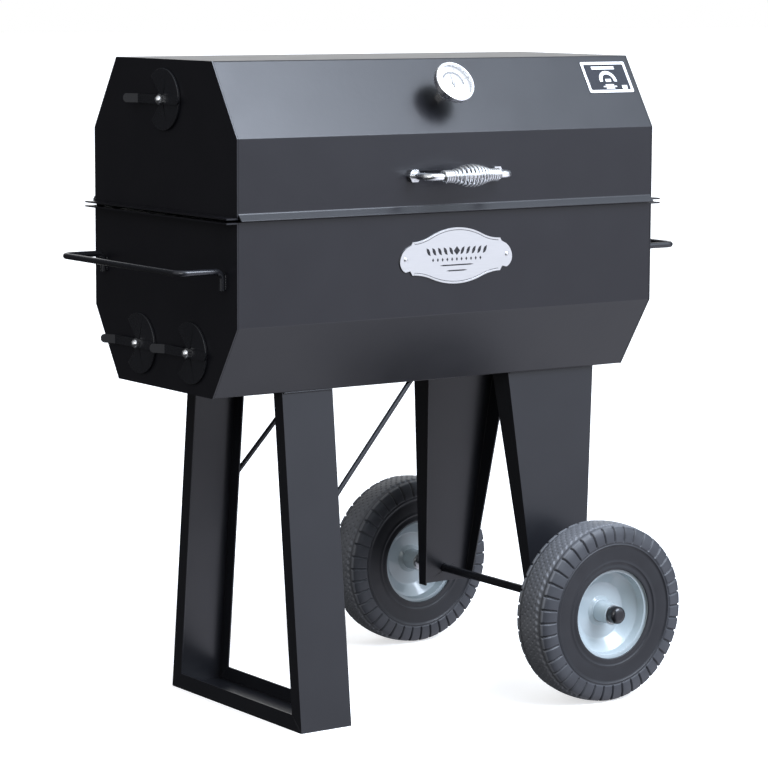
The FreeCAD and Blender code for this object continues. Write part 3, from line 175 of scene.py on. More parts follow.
def tyre_rubber(name):
    """Moulded rubber with a random bloom; told apart by radius, the lugs and the tread are painted paler than the
    sidewall, as painted light where light falls on them.
    """
    shader = Shader(name, (0.02, 0.021, 0.025), 0.5, Specular_IOR_Level=0.42)
    axle = JOINTS["front_wheel_spin"]["pos_m"]
    flat = shader.tree.nodes.new("ShaderNodeVectorMath")
    flat.operation = "MULTIPLY"
    flat.inputs[1].default_value = (1.0, 0.0, 1.0)
    shader.link(shader.place, flat, 0)
    reach = shader.tree.nodes.new("ShaderNodeVectorMath")
    reach.operation = "DISTANCE"
    reach.inputs[1].default_value = (axle[0], 0.0, axle[2])
    shader.link(flat.outputs["Vector"], reach, 0)
    radius = reach.outputs["Value"]
    bloom = shader.spread(shader.noise(22.0, 4.0), 0.0, 1.0, 0.3, 0.8)
    # Painted light: the lug band and, much more, the tread get paler colours that stand in for light falling on
    # them; the bloom is the rubber's own random tone.
    sidewall = shader.blend(bloom, (0.009, 0.0095, 0.012), (0.014, 0.015, 0.018))
    painted_lit_lugs = shader.blend(bloom, (0.036, 0.038, 0.044), (0.052, 0.055, 0.062))
    tread = shader.blend(bloom, (0.12, 0.125, 0.136), (0.16, 0.166, 0.18))
    side = shader.blend(shader.spread(radius, 0.0, 1.0, *SIDEWALL_TO_LUGS), sidewall, painted_lit_lugs)
    shader.colour_from(shader.blend(shader.spread(radius, 0.0, 1.0, *LUGS_TO_TREAD), side, tread))
    shader.roughness_from(shader.spread(shader.noise(45.0, 3.0), 0.4, 0.5))
    shader.relief((shader.noise(1400.0, 3.0), 0.00004))
    return shader.material


def rim_enamel(name):
    """Grey-blue gloss enamel on pressed steel."""
    shader = Shader(name, (0.4, 0.46, 0.48), 0.2, Coat_Weight=0.5, Coat_Roughness=0.05)
    shader.colour_from(shader.blend(shader.noise(30.0, 4.0), (0.39, 0.45, 0.47), (0.42, 0.48, 0.5)))
    shader.roughness_from(shader.spread(shader.noise(60.0, 3.0), 0.16, 0.26))
    shader.relief((shader.noise(120.0, 2.0), 0.00002), (shader.noise(800.0, 1.0), 0.000005))
    return shader.material


def moulded_plastic(name, colour, roughness, gloss=0.5):
    """Plain moulded or printed surface with a fine grain."""
    shader = Shader(name, colour, roughness, Specular_IOR_Level=gloss)
    lighter = tuple(min(1.0, 1.25 * c + 0.004) for c in colour)
    shader.colour_from(shader.blend(shader.noise(90.0, 4.0), colour, lighter))
    shader.roughness_from(shader.spread(shader.noise(200.0, 3.0), 0.8 * roughness, 1.2 * roughness))
    shader.relief((shader.noise(1500.0, 2.0), 0.000015))
    return shader.material


def seasoned_steel(name):
    """Bare steel darkened by oil and heat."""
    shader = Shader(name, (0.05, 0.042, 0.036), 0.5, metallic=0.85)
    heat = shader.spread(shader.noise(18.0, 6.0), 0.0, 1.0)
    shader.colour_from(shader.blend(heat, (0.035, 0.03, 0.028), (0.12, 0.1, 0.085)))
    shader.roughness_from(shader.spread(shader.noise(70.0, 5.0), 0.38, 0.7))
    shader.relief((shader.noise(500.0, 4.0), 0.0001))
    return shader.material


def clear_glass(name):
    """Thin flat glass in front of the dial."""
    shader = Shader(name, (1.0, 1.0, 1.0), 0.04, Alpha=0.12)
    shader.roughness_from(shader.spread(shader.noise(80.0, 3.0), 0.03, 0.07))
    return shader.material


MATERIALS = {
    "black_body": powder_paint("body_paint", (0.0065, 0.0065, 0.009), (0.0095, 0.0095, 0.0125), 0.29, 0.33),
    "black_frame": powder_paint("frame_paint", (0.008, 0.0085, 0.011), (0.012, 0.0125, 0.0155), 0.28, 0.33),
    "black_trim": powder_paint("trim_paint", (0.009, 0.0095, 0.012), (0.018, 0.0185, 0.022), 0.2, 0.28),
    "bright_chrome": polished_metal("chrome", (0.88, 0.89, 0.9), 0.2, 0.3),
    "zinc_steel": polished_metal("zinc", (0.6, 0.62, 0.63), 0.25, 0.45, ripple=0.00001),
    "plaque_metal": brushed_plate("brushed_aluminium", (0.69, 0.69, 0.685)),
    "dial_white": moulded_plastic("dial_enamel", (0.86, 0.86, 0.84), 0.35),
    "pointer_black": moulded_plastic("black_enamel", (0.012, 0.012, 0.014), 0.3),
    "dial_glass": clear_glass("dial_glass"),
    "label_print": moulded_plastic("label_black", (0.022, 0.024, 0.03), 0.55, 0.15),
    "tyre_rubber": tyre_rubber("rubber"),
    "rim_paint": rim_enamel("rim_enamel"),
    "hub_steel": rim_enamel("hub_enamel"),
    "cap_black": moulded_plastic("cap_plastic", (0.01, 0.01, 0.012), 0.16),
    "seasoned_steel": seasoned_steel("seasoned_steel"),
}


def paint_nodes():
    """Every CAD node takes the material of its record slot."""
    for row in frame["record"]["subparts"]:
        mesh = NODES[row["node"]].data
        mesh.materials.clear()
        mesh.materials.append(MATERIALS[row["material_slot"]])


# Nodes whose sharp edges are softened: bent sheets, and the dampers' discs
SHEETS = ["firebox_shell", "lid_shell", "foot_channel"]
SHEETS += [f"{end}_{side}_leg" for end in ("front", "back") for side in ("left", "right")]
DISCS = [f"{side}_{place}_damper" for side in ("left", "right") for place in ("top", "front", "back")]

# Radius of the softened edges by node, in mm
EDGE_RADIUS = {**dict.fromkeys(SHEETS, 0.8), **dict.fromkeys(DISCS, 1.2)}


def soften_edges():
    """Small worn radii on the sharp edges of the bent sheets and discs, so that they catch the light."""
    for name, width in EDGE_RADIUS.items():
        node = NODES[name]
        weld = node.modifiers.new("weld", "WELD")
        weld.merge_threshold = 0.01 * MM
        bevel = node.modifiers.new("edge", "BEVEL")
        bevel.width = width * MM
        bevel.segments = 2
        bevel.limit_method = "ANGLE"
        bevel.angle_limit = math.radians(50)
        flat = node.modifiers.new("flat_faces", "WEIGHTED_NORMAL")
        flat.mode = "FACE_AREA"
        flat.weight = 100


# ---------------------------------------------------------------- piece helpers

def new_piece(name, mesh, body, slot, stands_for=()):
    """Adds a mesh as a piece that rides on a CAD body."""
    mesh.validate()
    mesh.materials.append(MATERIALS[slot])
    piece = bpy.data.objects.new(name, mesh)
    bpy.context.scene.collection.objects.link(piece)
    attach(piece, body)
    if stands_for:
        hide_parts(*stands_for)


def grid_mesh(name, points, close_rows, close_columns):
    """A mesh from a (rows, columns, 3) array of points, smooth shaded."""
    rows, columns = points.shape[:2]
    row = np.arange(rows if close_rows else rows - 1)
    column = np.arange(columns if close_columns else columns - 1)
    first, second = np.meshgrid(row, column, indexing="ij")
    below, beside = (first + 1) % rows, (second + 1) % columns
    corners = (first * columns + second, first * columns + beside,
               below * columns + beside, below * columns + second)
    faces = np.stack(corners, axis=-1).reshape(-1, 4)
    mesh = bpy.data.meshes.new(name)
    mesh.from_pydata(points.reshape(-1, 3).tolist(), [], faces.tolist())
    mesh.polygons.foreach_set("use_smooth", np.ones(len(faces), bool))
    return mesh


def cap_ends(mesh, rows, columns):
    """Closes the two open ends of a tube made by grid_mesh."""
    faces = [list(p.vertices) for p in mesh.polygons]
    smooth = [True] * len(faces) + [False, False]
    faces.append(list(range(columns))[::-1])
    faces.append(list(range((rows - 1) * columns, rows * columns)))
    points = [v.co.copy() for v in mesh.vertices]
    capped = bpy.data.meshes.new(mesh.name)
    capped.from_pydata(points, [], faces)
    capped.polygons.foreach_set("use_smooth", smooth)
    return capped


def tube_mesh(name, path, radii, sides=12):
    """A round tube along a list of points, closed at both ends."""
    path = [Vector(p) for p in path]
    rings = []
    across = None
    for index, point in enumerate(path):
        ahead = path[min(index + 1, len(path) - 1)] - path[max(index - 1, 0)]
        ahead.normalize()
        if across is None:
            across = ahead.orthogonal().normalized()
        across = (across - ahead * across.dot(ahead)).normalized()
        up = ahead.cross(across)
        ring = [point + radii[index] * (math.cos(a) * across + math.sin(a) * up)
                for a in (TAU * k / sides for k in range(sides))]
        rings.append([tuple(p) for p in ring])
    mesh = grid_mesh(name, np.array(rings), False, True)
    return cap_ends(mesh, len(path), sides)


class Face:
    """A flat face to build on: an origin, a direction to the right and one out of the face."""

    def __init__(self, origin, right, normal):
        self.origin = Vector(origin)
        self.right = Vector(right).normalized()
        self.normal = Vector(normal).normalized()
        self.up = self.normal.cross(self.right)

    def at(self, across, along, lift):
        """The point that many millimetres right, up and out of the face."""
        return self.origin + MM * (across * self.right + along * self.up + lift * self.normal)


def slab(face, outline, low, high):
    """A flat shape with a thickness; the outline runs counter-clockwise, in mm."""
    count = len(outline)
    points = [face.at(x, y, lift) for lift in (low, high) for x, y in outline]
    after = [(k + 1) % count for k in range(count)]
    sides = [(k, after[k], after[k] + count, k + count) for k in range(count)]
    return points, [list(range(count))[::-1], list(range(count, 2 * count))] + sides


def band(face, outer, inner, low, high, closed):
    """A strip with a thickness between two lines of as many points each, in mm."""
    count = len(outer)
    lines = ((outer, low), (outer, high), (inner, high), (inner, low))
    points = [face.at(x, y, lift) for line, lift in lines for x, y in line]
    faces = []
    for k in range(count if closed else count - 1):
        after = (k + 1) % count
        for side in range(4):
            here, beside = side * count, (side + 1) % 4 * count
            faces.append((here + k, here + after, beside + after, beside + k))
    if not closed:
        faces.append([side * count for side in range(4)])
        faces.append([side * count + count - 1 for side in reversed(range(4))])
    return points, faces


def joined(name, shapes):
    """One mesh from several (points, faces) shapes."""
    points, faces = [], []
    for shape_points, shape_faces in shapes:
        start = len(points)
        points += shape_points
        faces += [[start + k for k in face] for face in shape_faces]
    mesh = bpy.data.meshes.new(name)
    mesh.from_pydata(points, [], faces)
    build = bmesh.new()
    build.from_mesh(mesh)
    bmesh.ops.recalc_face_normals(build, faces=build.faces)
    build.to_mesh(mesh)
    build.free()
    return mesh


def arc_line(radius, start, stop, count, centre=(0.0, 0.0)):
    """Points along an arc; angles in degrees, counter-clockwise from the right."""
    angles = [math.radians(start + (stop - start) * k / (count - 1)) for k in range(count)]
    return [(centre[0] + radius * math.cos(a), centre[1] + radius * math.sin(a)) for a in angles]


def arc_band(face, outer, inner, start, stop, count, low, high, centre=(0.0, 0.0)):
    """A strip with a thickness between two arcs, from their radii and angles."""
    lines = [arc_line(radius, start, stop, count, centre) for radius in (outer, inner)]
    return band(face, *lines, low, high, False)


def rounded_box(half_wide, half_high, radius, centre=(0.0, 0.0)):
    """Outline of a box with round corners, counter-clockwise."""
    points = []
    for start, right, up in ((0, 1, 1), (90, -1, 1), (180, -1, -1), (270, 1, -1)):
        corner = (centre[0] + right * (half_wide - radius), centre[1] + up * (half_high - radius))
        points += arc_line(radius, start, start + 90, 6, corner)
    return points


def lid_front():
    """Direction out of the lid's sloping front: the pointer's axis, turned upwards."""
    normal = Vector(JOINTS["pointer_turn"]["axis"]).normalized()
    return -normal if normal.z < 0 else normal


def face_on(node, centre):
    """A face on a CAD node's outer side on the lid's slope, with its origin over a point."""
    normal = lid_front()
    reach = max(v.co.dot(normal) for v in NODES[node].data.vertices)
    return Face(centre + (reach - centre.dot(normal)) * normal, (1, 0, 0), normal)


# ---------------------------------------------------------------- studio

# The camera's place in metres, and its angles in degrees
CAMERA_PLACE = (-3.154, -4.5528, 1.3277)
CAMERA_AZIMUTH, CAMERA_PITCH, CAMERA_ROLL = -34.878, 7.695, 0.256


def make_camera():
    """The camera of the main view, turned round its own axis by the roll."""
    azimuth, pitch, roll = (math.radians(a) for a in (CAMERA_AZIMUTH, CAMERA_PITCH, CAMERA_ROLL))
    reach = math.cos(pitch)
    back = Vector((math.sin(azimuth) * reach, -math.cos(azimuth) * reach, math.sin(pitch)))
    level = Vector((0, 0, 1)).cross(back).normalized()
    upright = back.cross(level)
    right = math.cos(roll) * level + math.sin(roll) * upright
    up = math.cos(roll) * upright - math.sin(roll) * level
    data = bpy.data.cameras.new("camera")
    data.sensor_width = 36.0
    data.lens = 140.2
    data.clip_end = 100.0
    camera = bpy.data.objects.new("camera", data)
    turn = Matrix((right, up, back)).transposed().to_4x4()
    camera.matrix_world = Matrix.Translation(CAMERA_PLACE) @ turn
    bpy.context.scene.collection.objects.link(camera)
    bpy.context.scene.camera = camera


def make_floor():
    """A wide pale floor that neither mirrors in the object nor lights it from below."""
    half = 60.0
    mesh = bpy.data.meshes.new("floor")
    corners = [(-half, -half, 0), (half, -half, 0), (half, half, 0), (-half, half, 0)]
    mesh.from_pydata(corners, [], [(0, 1, 2, 3)])
    shader = Shader("floor_paper", (0.9, 0.9, 0.9), 0.9,
                    Emission_Color=(1.0, 1.0, 1.0, 1.0), Emission_Strength=0.6)
    shader.colour_from(shader.blend(shader.noise(3.0), (0.89, 0.89, 0.89), (0.91, 0.91, 0.91)))
    mesh.materials.append(shader.material)
    floor = bpy.data.objects.new("floor", mesh)
    floor.visible_glossy = False
    floor.visible_diffuse = False
    bpy.context.scene.collection.objects.link(floor)


def make_softbox(name, place, target, size, power, colour=(1.0, 1.0, 1.0)):
    """A rectangular area light aimed at a point."""
    data = bpy.data.lights.new(name, "AREA")
    data.shape = "RECTANGLE"
    data.size, data.size_y = size
    data.energy = power
    data.color = colour
    lamp = bpy.data.objects.new(name, data)
    lamp.location = place
    lamp.rotation_mode = "QUATERNION"
    lamp.rotation_quaternion = (Vector(target) - Vector(place)).to_track_quat("-Z", "Y")
    bpy.context.scene.collection.objects.link(lamp)


# Soft bright parts of the studio's surround:
# name, direction, cosine at its edge, cosine where it is full, strength, colour
SURROUND = (
    ("sky_panel", (0.40, -0.56, 0.72), 0.55, 0.98, 1.95, (0.78, 0.89, 1.03)),
    ("front_wall", (0.57, -0.81, -0.13), 0.55, 0.98, 0.75, (0.94, 0.94, 1.06)),
    ("lower_glow", (0.567, -0.25, -0.79), 0.60, 0.98, 1.0, (0.93, 0.96, 1.1)),
    ("back_wall", (0.55, 0.81, 0.20), 0.75, 0.98, 1.0, (0.98, 0.99, 1.0)),
    ("left_wall", (-0.90, -0.10, 0.42), 0.55, 1.00, 0.7, (0.94, 0.96, 1.0)),
    ("overhead", (0.0, 0.0, 1.0), 0.50, 1.00, 0.40, (1.0, 1.0, 1.0)),
    ("room", (0.0, 0.0, 1.0), -3.00, -2.00, 0.04, (0.94, 0.96, 1.0)),
)


def make_surround():
    """Studio walls: a dim room with soft bright areas, and plain pale where the camera looks."""
    world = bpy.data.worlds.new("studio")
    bpy.context.scene.world = world
    world.use_nodes = True
    tree = world.node_tree
    tree.nodes.clear()
    direction = tree.nodes.new("ShaderNodeTexCoord").outputs["Generated"]
    total = None
    for name, towards, edge, full, strength, colour in SURROUND:
        dot = tree.nodes.new("ShaderNodeVectorMath")
        dot.operation = "DOT_PRODUCT"
        dot.inputs[1].default_value = Vector(towards).normalized()
        tree.links.new(direction, dot.inputs[0])
        ramp = tree.nodes.new("ShaderNodeMapRange")
        ramp.name = name
        set_range(ramp, edge, full, 0.0, strength)
        tree.links.new(dot.outputs["Value"], ramp.inputs["Value"])
        glow = tree.nodes.new("ShaderNodeBackground")
        glow.inputs["Color"].default_value = (*colour, 1.0)
        tree.links.new(ramp.outputs["Result"], glow.inputs["Strength"])
        if total is None:
            total = glow.outputs["Background"]
            continue
        add = tree.nodes.new("ShaderNodeAddShader")
        tree.links.new(total, add.inputs[0])
        tree.links.new(glow.outputs["Background"], add.inputs[1])
        total = add.outputs["Shader"]
    plain = tree.nodes.new("ShaderNodeBackground")
    plain.inputs["Color"].default_value = (1.0, 1.0, 1.0, 1.0)
    rays = tree.nodes.new("ShaderNodeLightPath")
    choose = tree.nodes.new("ShaderNodeMixShader")
    tree.links.new(rays.outputs["Is Camera Ray"], choose.inputs["Fac"])
    tree.links.new(total, choose.inputs[1])
    tree.links.new(plain.outputs["Background"], choose.inputs[2])
    out = tree.nodes.new("ShaderNodeOutputWorld")
    tree.links.new(choose.outputs["Shader"], out.inputs["Surface"])


def make_studio():
    """Camera, floor, surround and the two softboxes."""
    make_camera()
    make_floor()
    make_surround()
    middle = (0.0, 0.0, 0.7)
    make_softbox("key", (1.2, -3.4, 4.2), middle, (3.0, 3.0), 330.0, (0.86, 0.94, 1.1))
    make_softbox("fill", (-3.5, -3.0, 2.2), middle, (2.5, 2.5), 50.0)
    bpy.context.scene.view_settings.view_transform = "Standard"


# ---------------------------------------------------------------- tyres

# Half of the tyre's outer line from the rim flange to the edge of the tread:
# radius from the axle and distance from the wheel's middle plane, in mm
TYRE_SIDE = (
    (81.0, 33.6), (88.4, 34.0), (88.8, 40.5), (84.2, 40.6), (83.2, 41.2), (83.8, 42.2),
    (86.2, 42.7), (89.0, 42.4), (92.0, 41.4), (95.6, 41.4), (96.8, 42.6), (98.2, 43.0),
    (99.4, 42.3), (104.0, 42.7), (111.0, 43.2), (118.0, 43.4), (124.0, 43.4), (128.6, 43.2),
    (129.2, 44.5), (130.8, 44.6), (131.6, 43.6), (133.6, 43.5), (134.4, 44.6), (136.0, 44.8),
    (139.0, 44.7), (142.0, 44.5), (145.0, 44.2), (148.0, 43.8), (151.0, 43.2), (154.0, 42.4),
    (157.0, 41.2), (159.6, 39.9), (161.8, 38.4), (163.2, 36.8), (164.0, 35.2),
)

# The tread in mm: its radius at the middle, half its width, the curve of its crown and the
# spacing of its points across
TREAD_RADIUS, TREAD_HALF, TREAD_CROWN, TREAD_STEP = 167.5, 34.0, 170.0, 1.25

LUGS = 40
COLUMNS_PER_LUG = 20

# The moulded pattern: slots between the lugs, a wavy ditch beside them and slanted dimples.
# All in mm but the slant, which is a slope; the halves are taken where a cut is half as deep.
SLOT_DEPTH, SLOT_HALF, SLOT_RADIUS = 3.4, 1.7, 160.0
LUG_RADIUS, LUG_SIDE = 134.0, 31.0
DITCH_DEPTH, DITCH_START, DITCH_END, DITCH_WAVE = 2.8, 22.5, 32.0, 1.6
DIMPLE_ROWS, DIMPLE_RADIUS = (-17.0, -8.5, 0.0, 8.5, 17.0), 167.0
DIMPLE_DEPTH, DIMPLE_HALF_LONG, DIMPLE_HALF_WIDE, DIMPLE_SLANT = 3.0, 2.0, 1.25, 0.3
PATTERN_RADIUS = 150.0


def tyre_outline():
    """Half of the tyre's outer line, from the rim flange to the middle of the tread, in mm."""
    across = np.arange(TREAD_HALF, -0.01, -TREAD_STEP)
    drop = TREAD_CROWN - np.sqrt(TREAD_CROWN ** 2 - across ** 2)
    tread = [(TREAD_RADIUS - d, y) for d, y in zip(drop, across)]
    return np.array(list(TYRE_SIDE) + tread)


def fade(value, width):
    """0 below zero, 1 above width, and straight between them."""
    return np.clip(value / width, 0.0, 1.0)


def groove(distance, half_wide):
    """1 in the middle of a cut and 0 outside it, with sloping walls; half at half_wide."""
    return np.clip(1.5 - distance / half_wide, 0.0, 1.0)


def tyre_depth(radius, across, turn):
    """How deep the moulded pattern is cut, in mm, at each point of the tyre's outer line."""
    pitch = TAU / LUGS
    wide = np.abs(across)
    step = np.abs((turn / pitch) % 1.0 - 0.5)
    arc = (0.5 - step) * pitch * SLOT_RADIUS
    on_lugs = fade(radius - LUG_RADIUS, 2.0) * fade(wide - LUG_SIDE, 1.5)
    cut = SLOT_DEPTH * groove(arc, SLOT_HALF) * on_lugs
    wave = DITCH_WAVE * np.sin(turn * LUGS * 2)
    ditch = DITCH_DEPTH * fade(wide - DITCH_START - wave, 1.3) * fade(DITCH_END - wide, 1.3)
    cut = np.maximum(cut, np.where(radius > PATTERN_RADIUS, ditch, 0.0))
    for row, middle in enumerate(DIMPLE_ROWS):
        phase = ((turn / pitch) * 2.0 + 0.5 * (row % 2)) % 1.0 - 0.5
        along = phase * pitch / 2.0 * DIMPLE_RADIUS
        beside = across - middle - DIMPLE_SLANT * along
        away = np.hypot(along / DIMPLE_HALF_LONG, beside / DIMPLE_HALF_WIDE)
        dimple = DIMPLE_DEPTH * groove(away, 1.0)
        cut = np.maximum(cut, np.where(radius > PATTERN_RADIUS, dimple, 0.0))
    return cut


def make_tyre(node, body, joint):
    """The tyre's outer line turned round the axle, with the moulded pattern cut into it."""
    half = tyre_outline()
    line = np.concatenate([half, half[-2::-1] * (1.0, -1.0)])
    tangent = np.gradient(line, axis=0)
    normal = np.stack([-tangent[:, 1], tangent[:, 0]], axis=1)
    normal /= np.linalg.norm(normal, axis=1)[:, None]
    columns = LUGS * COLUMNS_PER_LUG
    turn = np.arange(columns) * TAU / columns
    depth = tyre_depth(line[:, 0][:, None], line[:, 1][:, None], turn[None, :])
    radius = line[:, 0][:, None] - depth * normal[:, 0][:, None]
    across = line[:, 1][:, None] - depth * normal[:, 1][:, None]
    centre = joint["pos_m"]
    points = np.stack([
        centre[0] + MM * radius * np.cos(turn),
        centre[1] + MM * across,
        centre[2] + MM * radius * np.sin(turn),
    ], axis=-1)
    mesh = grid_mesh(node + "_detail", points, True, True)
    new_piece(node + "_detail", mesh, body, "tyre_rubber", (node,))


# ---------------------------------------------------------------- lid handle coil

def make_coil():
    """Wire wound tight at both ends and open over the barrel-shaped middle."""
    low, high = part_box("lid_handle_coil")
    centre = (low + high) / 2
    half = (high.x - low.x) / 2
    wire = 2.4 * MM
    end_radius, middle_radius = 9.3 * MM, 18.5 * MM
    tight, open_pitch = 4.9 * MM, 8.2 * MM
    collar = 17.0 * MM
    barrel_power, opening_rate = 1.5, 2.2
    points_per_turn = 28
    step = TAU / points_per_turn
    place, turn, path = -half + wire, 0.0, []
    while place < half - wire:
        inward = min(max((half - abs(place) - collar) / (half - collar), 0.0), 1.0)
        swell = math.sin(inward * math.pi / 2) ** barrel_power
        radius = end_radius + (middle_radius - end_radius) * swell
        pitch = tight + (open_pitch - tight) * min(1.0, opening_rate * inward)
        path.append((centre.x + place,
                     centre.y + radius * math.cos(turn),
                     centre.z + radius * math.sin(turn)))
        turn += step
        place += pitch * step / TAU
    mesh = tube_mesh("lid_handle_wire", path, [wire] * len(path), 10)
    new_piece("lid_handle_wire", mesh, "lid", "bright_chrome", ("lid_handle_coil",))


# ---------------------------------------------------------------- thermometer print

def make_dial_print():
    """Plain scale on the dial: a thick arc for the middle range and ticks round the edge."""
    face = face_on("thermometer_dial", Vector(JOINTS["pointer_turn"]["pos_m"]))
    low, high = -0.05, 0.12
    shapes = [arc_band(face, 23.4, 19.8, -10, 150, 60, low, high)]
    first_angle, sweep, ticks = 225, 270, 27
    for k in range(ticks):
        angle = first_angle - sweep * k / (ticks - 1)
        inner, half_wide = (26.4, 1.2) if k % 5 == 0 else (28.2, 0.7)
        shapes.append(arc_band(face, 30.5, inner, angle - half_wide, angle + half_wide, 3, low, high))
    new_piece("thermometer_scale", joined("thermometer_scale", shapes), "lid", "pointer_black")


# ---------------------------------------------------------------- label print

# The label's printed bars: middle across and up, half width and half height, in mm
LABEL_BARS = (
    (-3.0, 21.5, 27.0, 1.3), (-3.0, 18.0, 27.0, 1.3), (0.0, -7.0, 6.5, 3.0), (0.0, -16.5, 10.0, 1.2),
    (0.0, -20.0, 16.0, 1.2), (0.0, -23.5, 10.0, 1.0), (34.0, -21.5, 6.0, 3.6),
)


def make_label_print():
    """Plain white print on the black label: a border, bars and a half ring."""
    low_corner, high_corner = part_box("lid_label")
    face = face_on("lid_label", (low_corner + high_corner) / 2)
    margin, border, low, high = 1.0, 5.5, -0.1, 0.12
    half_wide = (high_corner.x - low_corner.x) / 2 / MM - margin
    half_high = (high_corner.z - low_corner.z) / 2 / MM / face.up.z - margin
    outer = rounded_box(half_wide, half_high, 3.0)
    inner = rounded_box(half_wide - border, half_high - border, 3.0)
    shapes = [band(face, outer, inner, low, high, True)]
    for across, along, bar_wide, bar_high in LABEL_BARS:
        shapes.append(slab(face, rounded_box(bar_wide, bar_high, 0.9, (across, along)), low, high))
    shapes.append(arc_band(face, 20.0, 13.0, -8, 188, 40, low, high, (0.0, -7.0)))
    new_piece("lid_label_print", joined("lid_label_print", shapes), "lid", "dial_white")


# ---------------------------------------------------------------- plaque

def plaque_edges(face_y, centre):
    """The plaque's top and bottom edge lines between its ears, from the CAD solid, in mm."""
    corners = [v.co - centre for v in NODES["nameplate"].data.vertices if v.co.y < face_y + 0.1 * MM]
    half_long, inmost = 93.0, 25 * MM
    across = np.linspace(-half_long, half_long, 120)
    lines = []
    for side in (1, -1):
        edge = [c for c in corners if side * c.z > inmost]
        chain = sorted({(round(c.x / MM, 2), round(c.z / MM, 2)) for c in edge})
        lines.append(np.interp(across, [x for x, z in chain], [z for x, z in chain]))
    return across, lines


# A slanted leaf of the plaque's ornament, in mm about its own middle
LEAF = ((-4.5, -7.0), (0.5, -5.0), (3.2, -0.5), (4.5, 7.0), (-0.5, 5.0), (-3.2, 0.5))

# The ornament's rows on the plaque, in mm: their heights, and the spacing along them
LEAF_ROW, LEAF_STEP = 11.0, 12.5
LOZENGE_ROW, LOZENGE_STEP = -4.0, 10.5
BAR_ROWS = ((-14.5, 38.0), (-24.5, 24.0))  # height, half length


def diamond(centre, half_wide, half_high):
    """Outline of a lozenge, counter-clockwise."""
    x, y = centre
    return [(x, y - half_high), (x + half_wide, y), (x, y + half_high), (x - half_wide, y)]


def pointed_bar(along, half_long):
    """Outline of a thin bar that narrows to a point at both ends, counter-clockwise."""
    taper, half_high = 8, 1.2
    shoulder = half_long - taper
    return [(-half_long, along), (-shoulder, along - half_high), (shoulder, along - half_high),
            (half_long, along), (shoulder, along + half_high), (-shoulder, along + half_high)]


def ornament_outlines():
    """Leaves on both sides of a lozenge, a row of small lozenges, and two bars."""
    outlines = []
    for k in range(1, 6):
        for side in (-1, 1):
            outlines.append([(side * (LEAF_STEP * k + u), LEAF_ROW + v) for u, v in LEAF])
    outlines.append(diamond((0, LEAF_ROW), 7, 8.0))
    for k in range(-5, 6):
        outlines.append(diamond((LOZENGE_STEP * k, LOZENGE_ROW), 2.2, 3.5))
    for along, half_long in BAR_ROWS:
        outlines.append(pointed_bar(along, half_long))
    return outlines


def make_plaque_lips_groove_shade_ornament():
    """Raised lips along the plaque's curved edges, a black line inside them that is painted shade of a groove, and
    a plain printed ornament.
    """
    low_corner, high_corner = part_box("nameplate")
    rivet_low, rivet_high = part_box("nameplate_rivets")
    middle_x, middle_z = (low_corner.x + high_corner.x) / 2, (rivet_low.z + rivet_high.z) / 2
    centre = Vector((middle_x, low_corner.y, middle_z))
    face = Face(centre, (1, 0, 0), (0, -1, 0))
    across, edges = plaque_edges(low_corner.y, centre)
    lips, dark = [], []
    for edge, side in zip(edges, (1, -1)):
        inset = {depth: list(zip(across.tolist(), (edge - side * depth).tolist()))
                 for depth in (0.4, 3.0, 3.6, 4.6)}
        lips.append(band(face, inset[0.4], inset[3.0], -0.2, 0.45, False))
        # Painted shade: a thin black strip inside each lip stands for the shade in a groove.
        dark.append(band(face, inset[3.6], inset[4.6], -0.1, 0.1, False))
    new_piece("plaque_lips", joined("plaque_lips", lips), "cooker", "plaque_metal")
    dark += [slab(face, outline, -0.1, 0.15) for outline in ornament_outlines()]
    new_piece("plaque_ornament_and_groove_shade", joined("plaque_ornament_and_groove_shade", dark), "cooker", "pointer_black")


# ---------------------------------------------------------------- welds

def bead_mesh(name, path, radius):
    """A weld bead: a tube whose radius ripples along its path and is small at both ends."""
    ripple, ripple_step = 0.16, 1.9
    radii = [radius * (1.0 + ripple * math.sin(ripple_step * k)) for k in range(len(path))]
    radii[0] = radii[-1] = 0.5 * radius
    return tube_mesh(name, path, radii, 8)


def straight(start, stop, step=0.0012):
    """Points from start to stop, one for about every step."""
    start, stop = Vector(start), Vector(stop)
    count = max(3, round((stop - start).length / step))
    return [start.lerp(stop, k / (count - 1)) for k in range(count)]


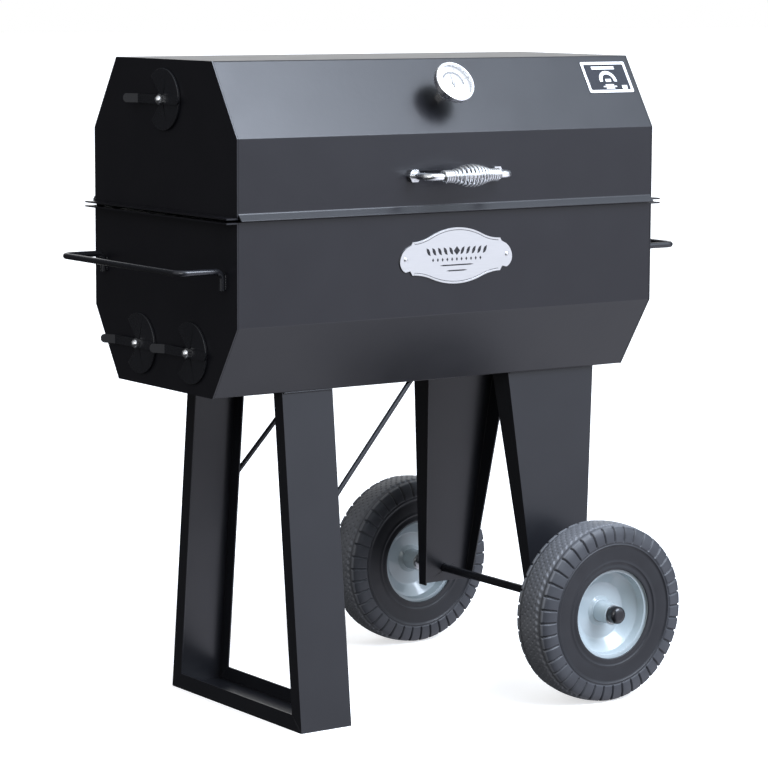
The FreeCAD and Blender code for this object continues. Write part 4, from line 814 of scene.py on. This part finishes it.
def make_handle_welds():
    """Beads down both sides of each handle rod's foot, where it lies against the end plate."""
    rod, bead, off_wall = 5.55 * MM, 1.7 * MM, 0.8 * MM
    foot_low, foot_high = 1.0 * MM, 27.0 * MM
    for word, side in (("left", -1), ("right", 1)):
        low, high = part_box(f"{word}_end_handle")
        wall = high.x if side < 0 else low.x
        x = wall + side * off_wall
        for end, middle in (("front", low.y + rod), ("back", high.y - rod)):
            for flank in (-1, 1):
                y = middle + flank * 0.75 * rod
                path = straight((x, y, low.z + foot_low), (x, y, low.z + foot_high))
                name = f"{word}_handle_{end}_weld_{flank + 2}"
                new_piece(name, bead_mesh(name, path, bead), "cooker", "black_trim")


def make_leg_welds():
    """Beads along the outer edges of the legs' tops, under the firebox floor."""
    bead, inset, off_edge = 2.0 * MM, 2 * MM, 0.8 * MM
    for end, side in (("front", "left"), ("back", "left"), ("front", "right"), ("back", "right")):
        leg = f"{end}_{side}_leg"
        low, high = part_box(leg)
        outermost, out_sign = (min, -1) if end == "front" else (max, 1)
        edge = outermost(v.co.y for v in NODES[leg].data.vertices if v.co.z > high.z - 0.5 * MM)
        y = edge + out_sign * off_edge
        z = high.z - off_edge
        path = straight((low.x + inset, y, z), (high.x - inset, y, z))
        new_piece(f"{leg}_weld", bead_mesh(f"{leg}_weld", path, bead), "cooker", "black_frame")


def make_hub_welds():
    """A bead round each hub tube, on both sides of the wheel's disc."""
    bead, off_hub, ripple, ripples = 2.0 * MM, 1.0 * MM, 0.12, 50
    rows, sides = 150, 10
    turns = np.arange(rows) * TAU / rows
    section = np.arange(sides) * TAU / sides
    size = bead * (1.0 + ripple * np.sin(ripples * turns))[:, None]
    for word in ("front", "back"):
        centre = Vector(JOINTS[f"{word}_wheel_spin"]["pos_m"])
        disc_low, disc_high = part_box(f"{word}_wheel_disc")
        hub_low, hub_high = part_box(f"{word}_wheel_hub")
        radius = (hub_high.z - hub_low.z) / 2 + off_hub
        around = radius + size * np.cos(section)[None, :]
        for face, y in (("near", disc_low.y), ("far", disc_high.y)):
            points = np.stack([
                centre.x + around * np.cos(turns)[:, None],
                y + size * np.sin(section)[None, :],
                centre.z + around * np.sin(turns)[:, None],
            ], axis=-1)
            name = f"{word}_hub_weld_{face}"
            new_piece(name, grid_mesh(name, points, True, True), f"{word}_wheel", "rim_paint")


# ---------------------------------------------------------------- build

paint_nodes()
soften_edges()
for word in ("front", "back"):
    make_tyre(f"{word}_wheel_tyre", f"{word}_wheel", JOINTS[f"{word}_wheel_spin"])
make_coil()
make_dial_print()
make_label_print()
make_plaque_lips_groove_shade_ornament()
make_handle_welds()
make_leg_welds()
make_hub_welds()
make_studio()
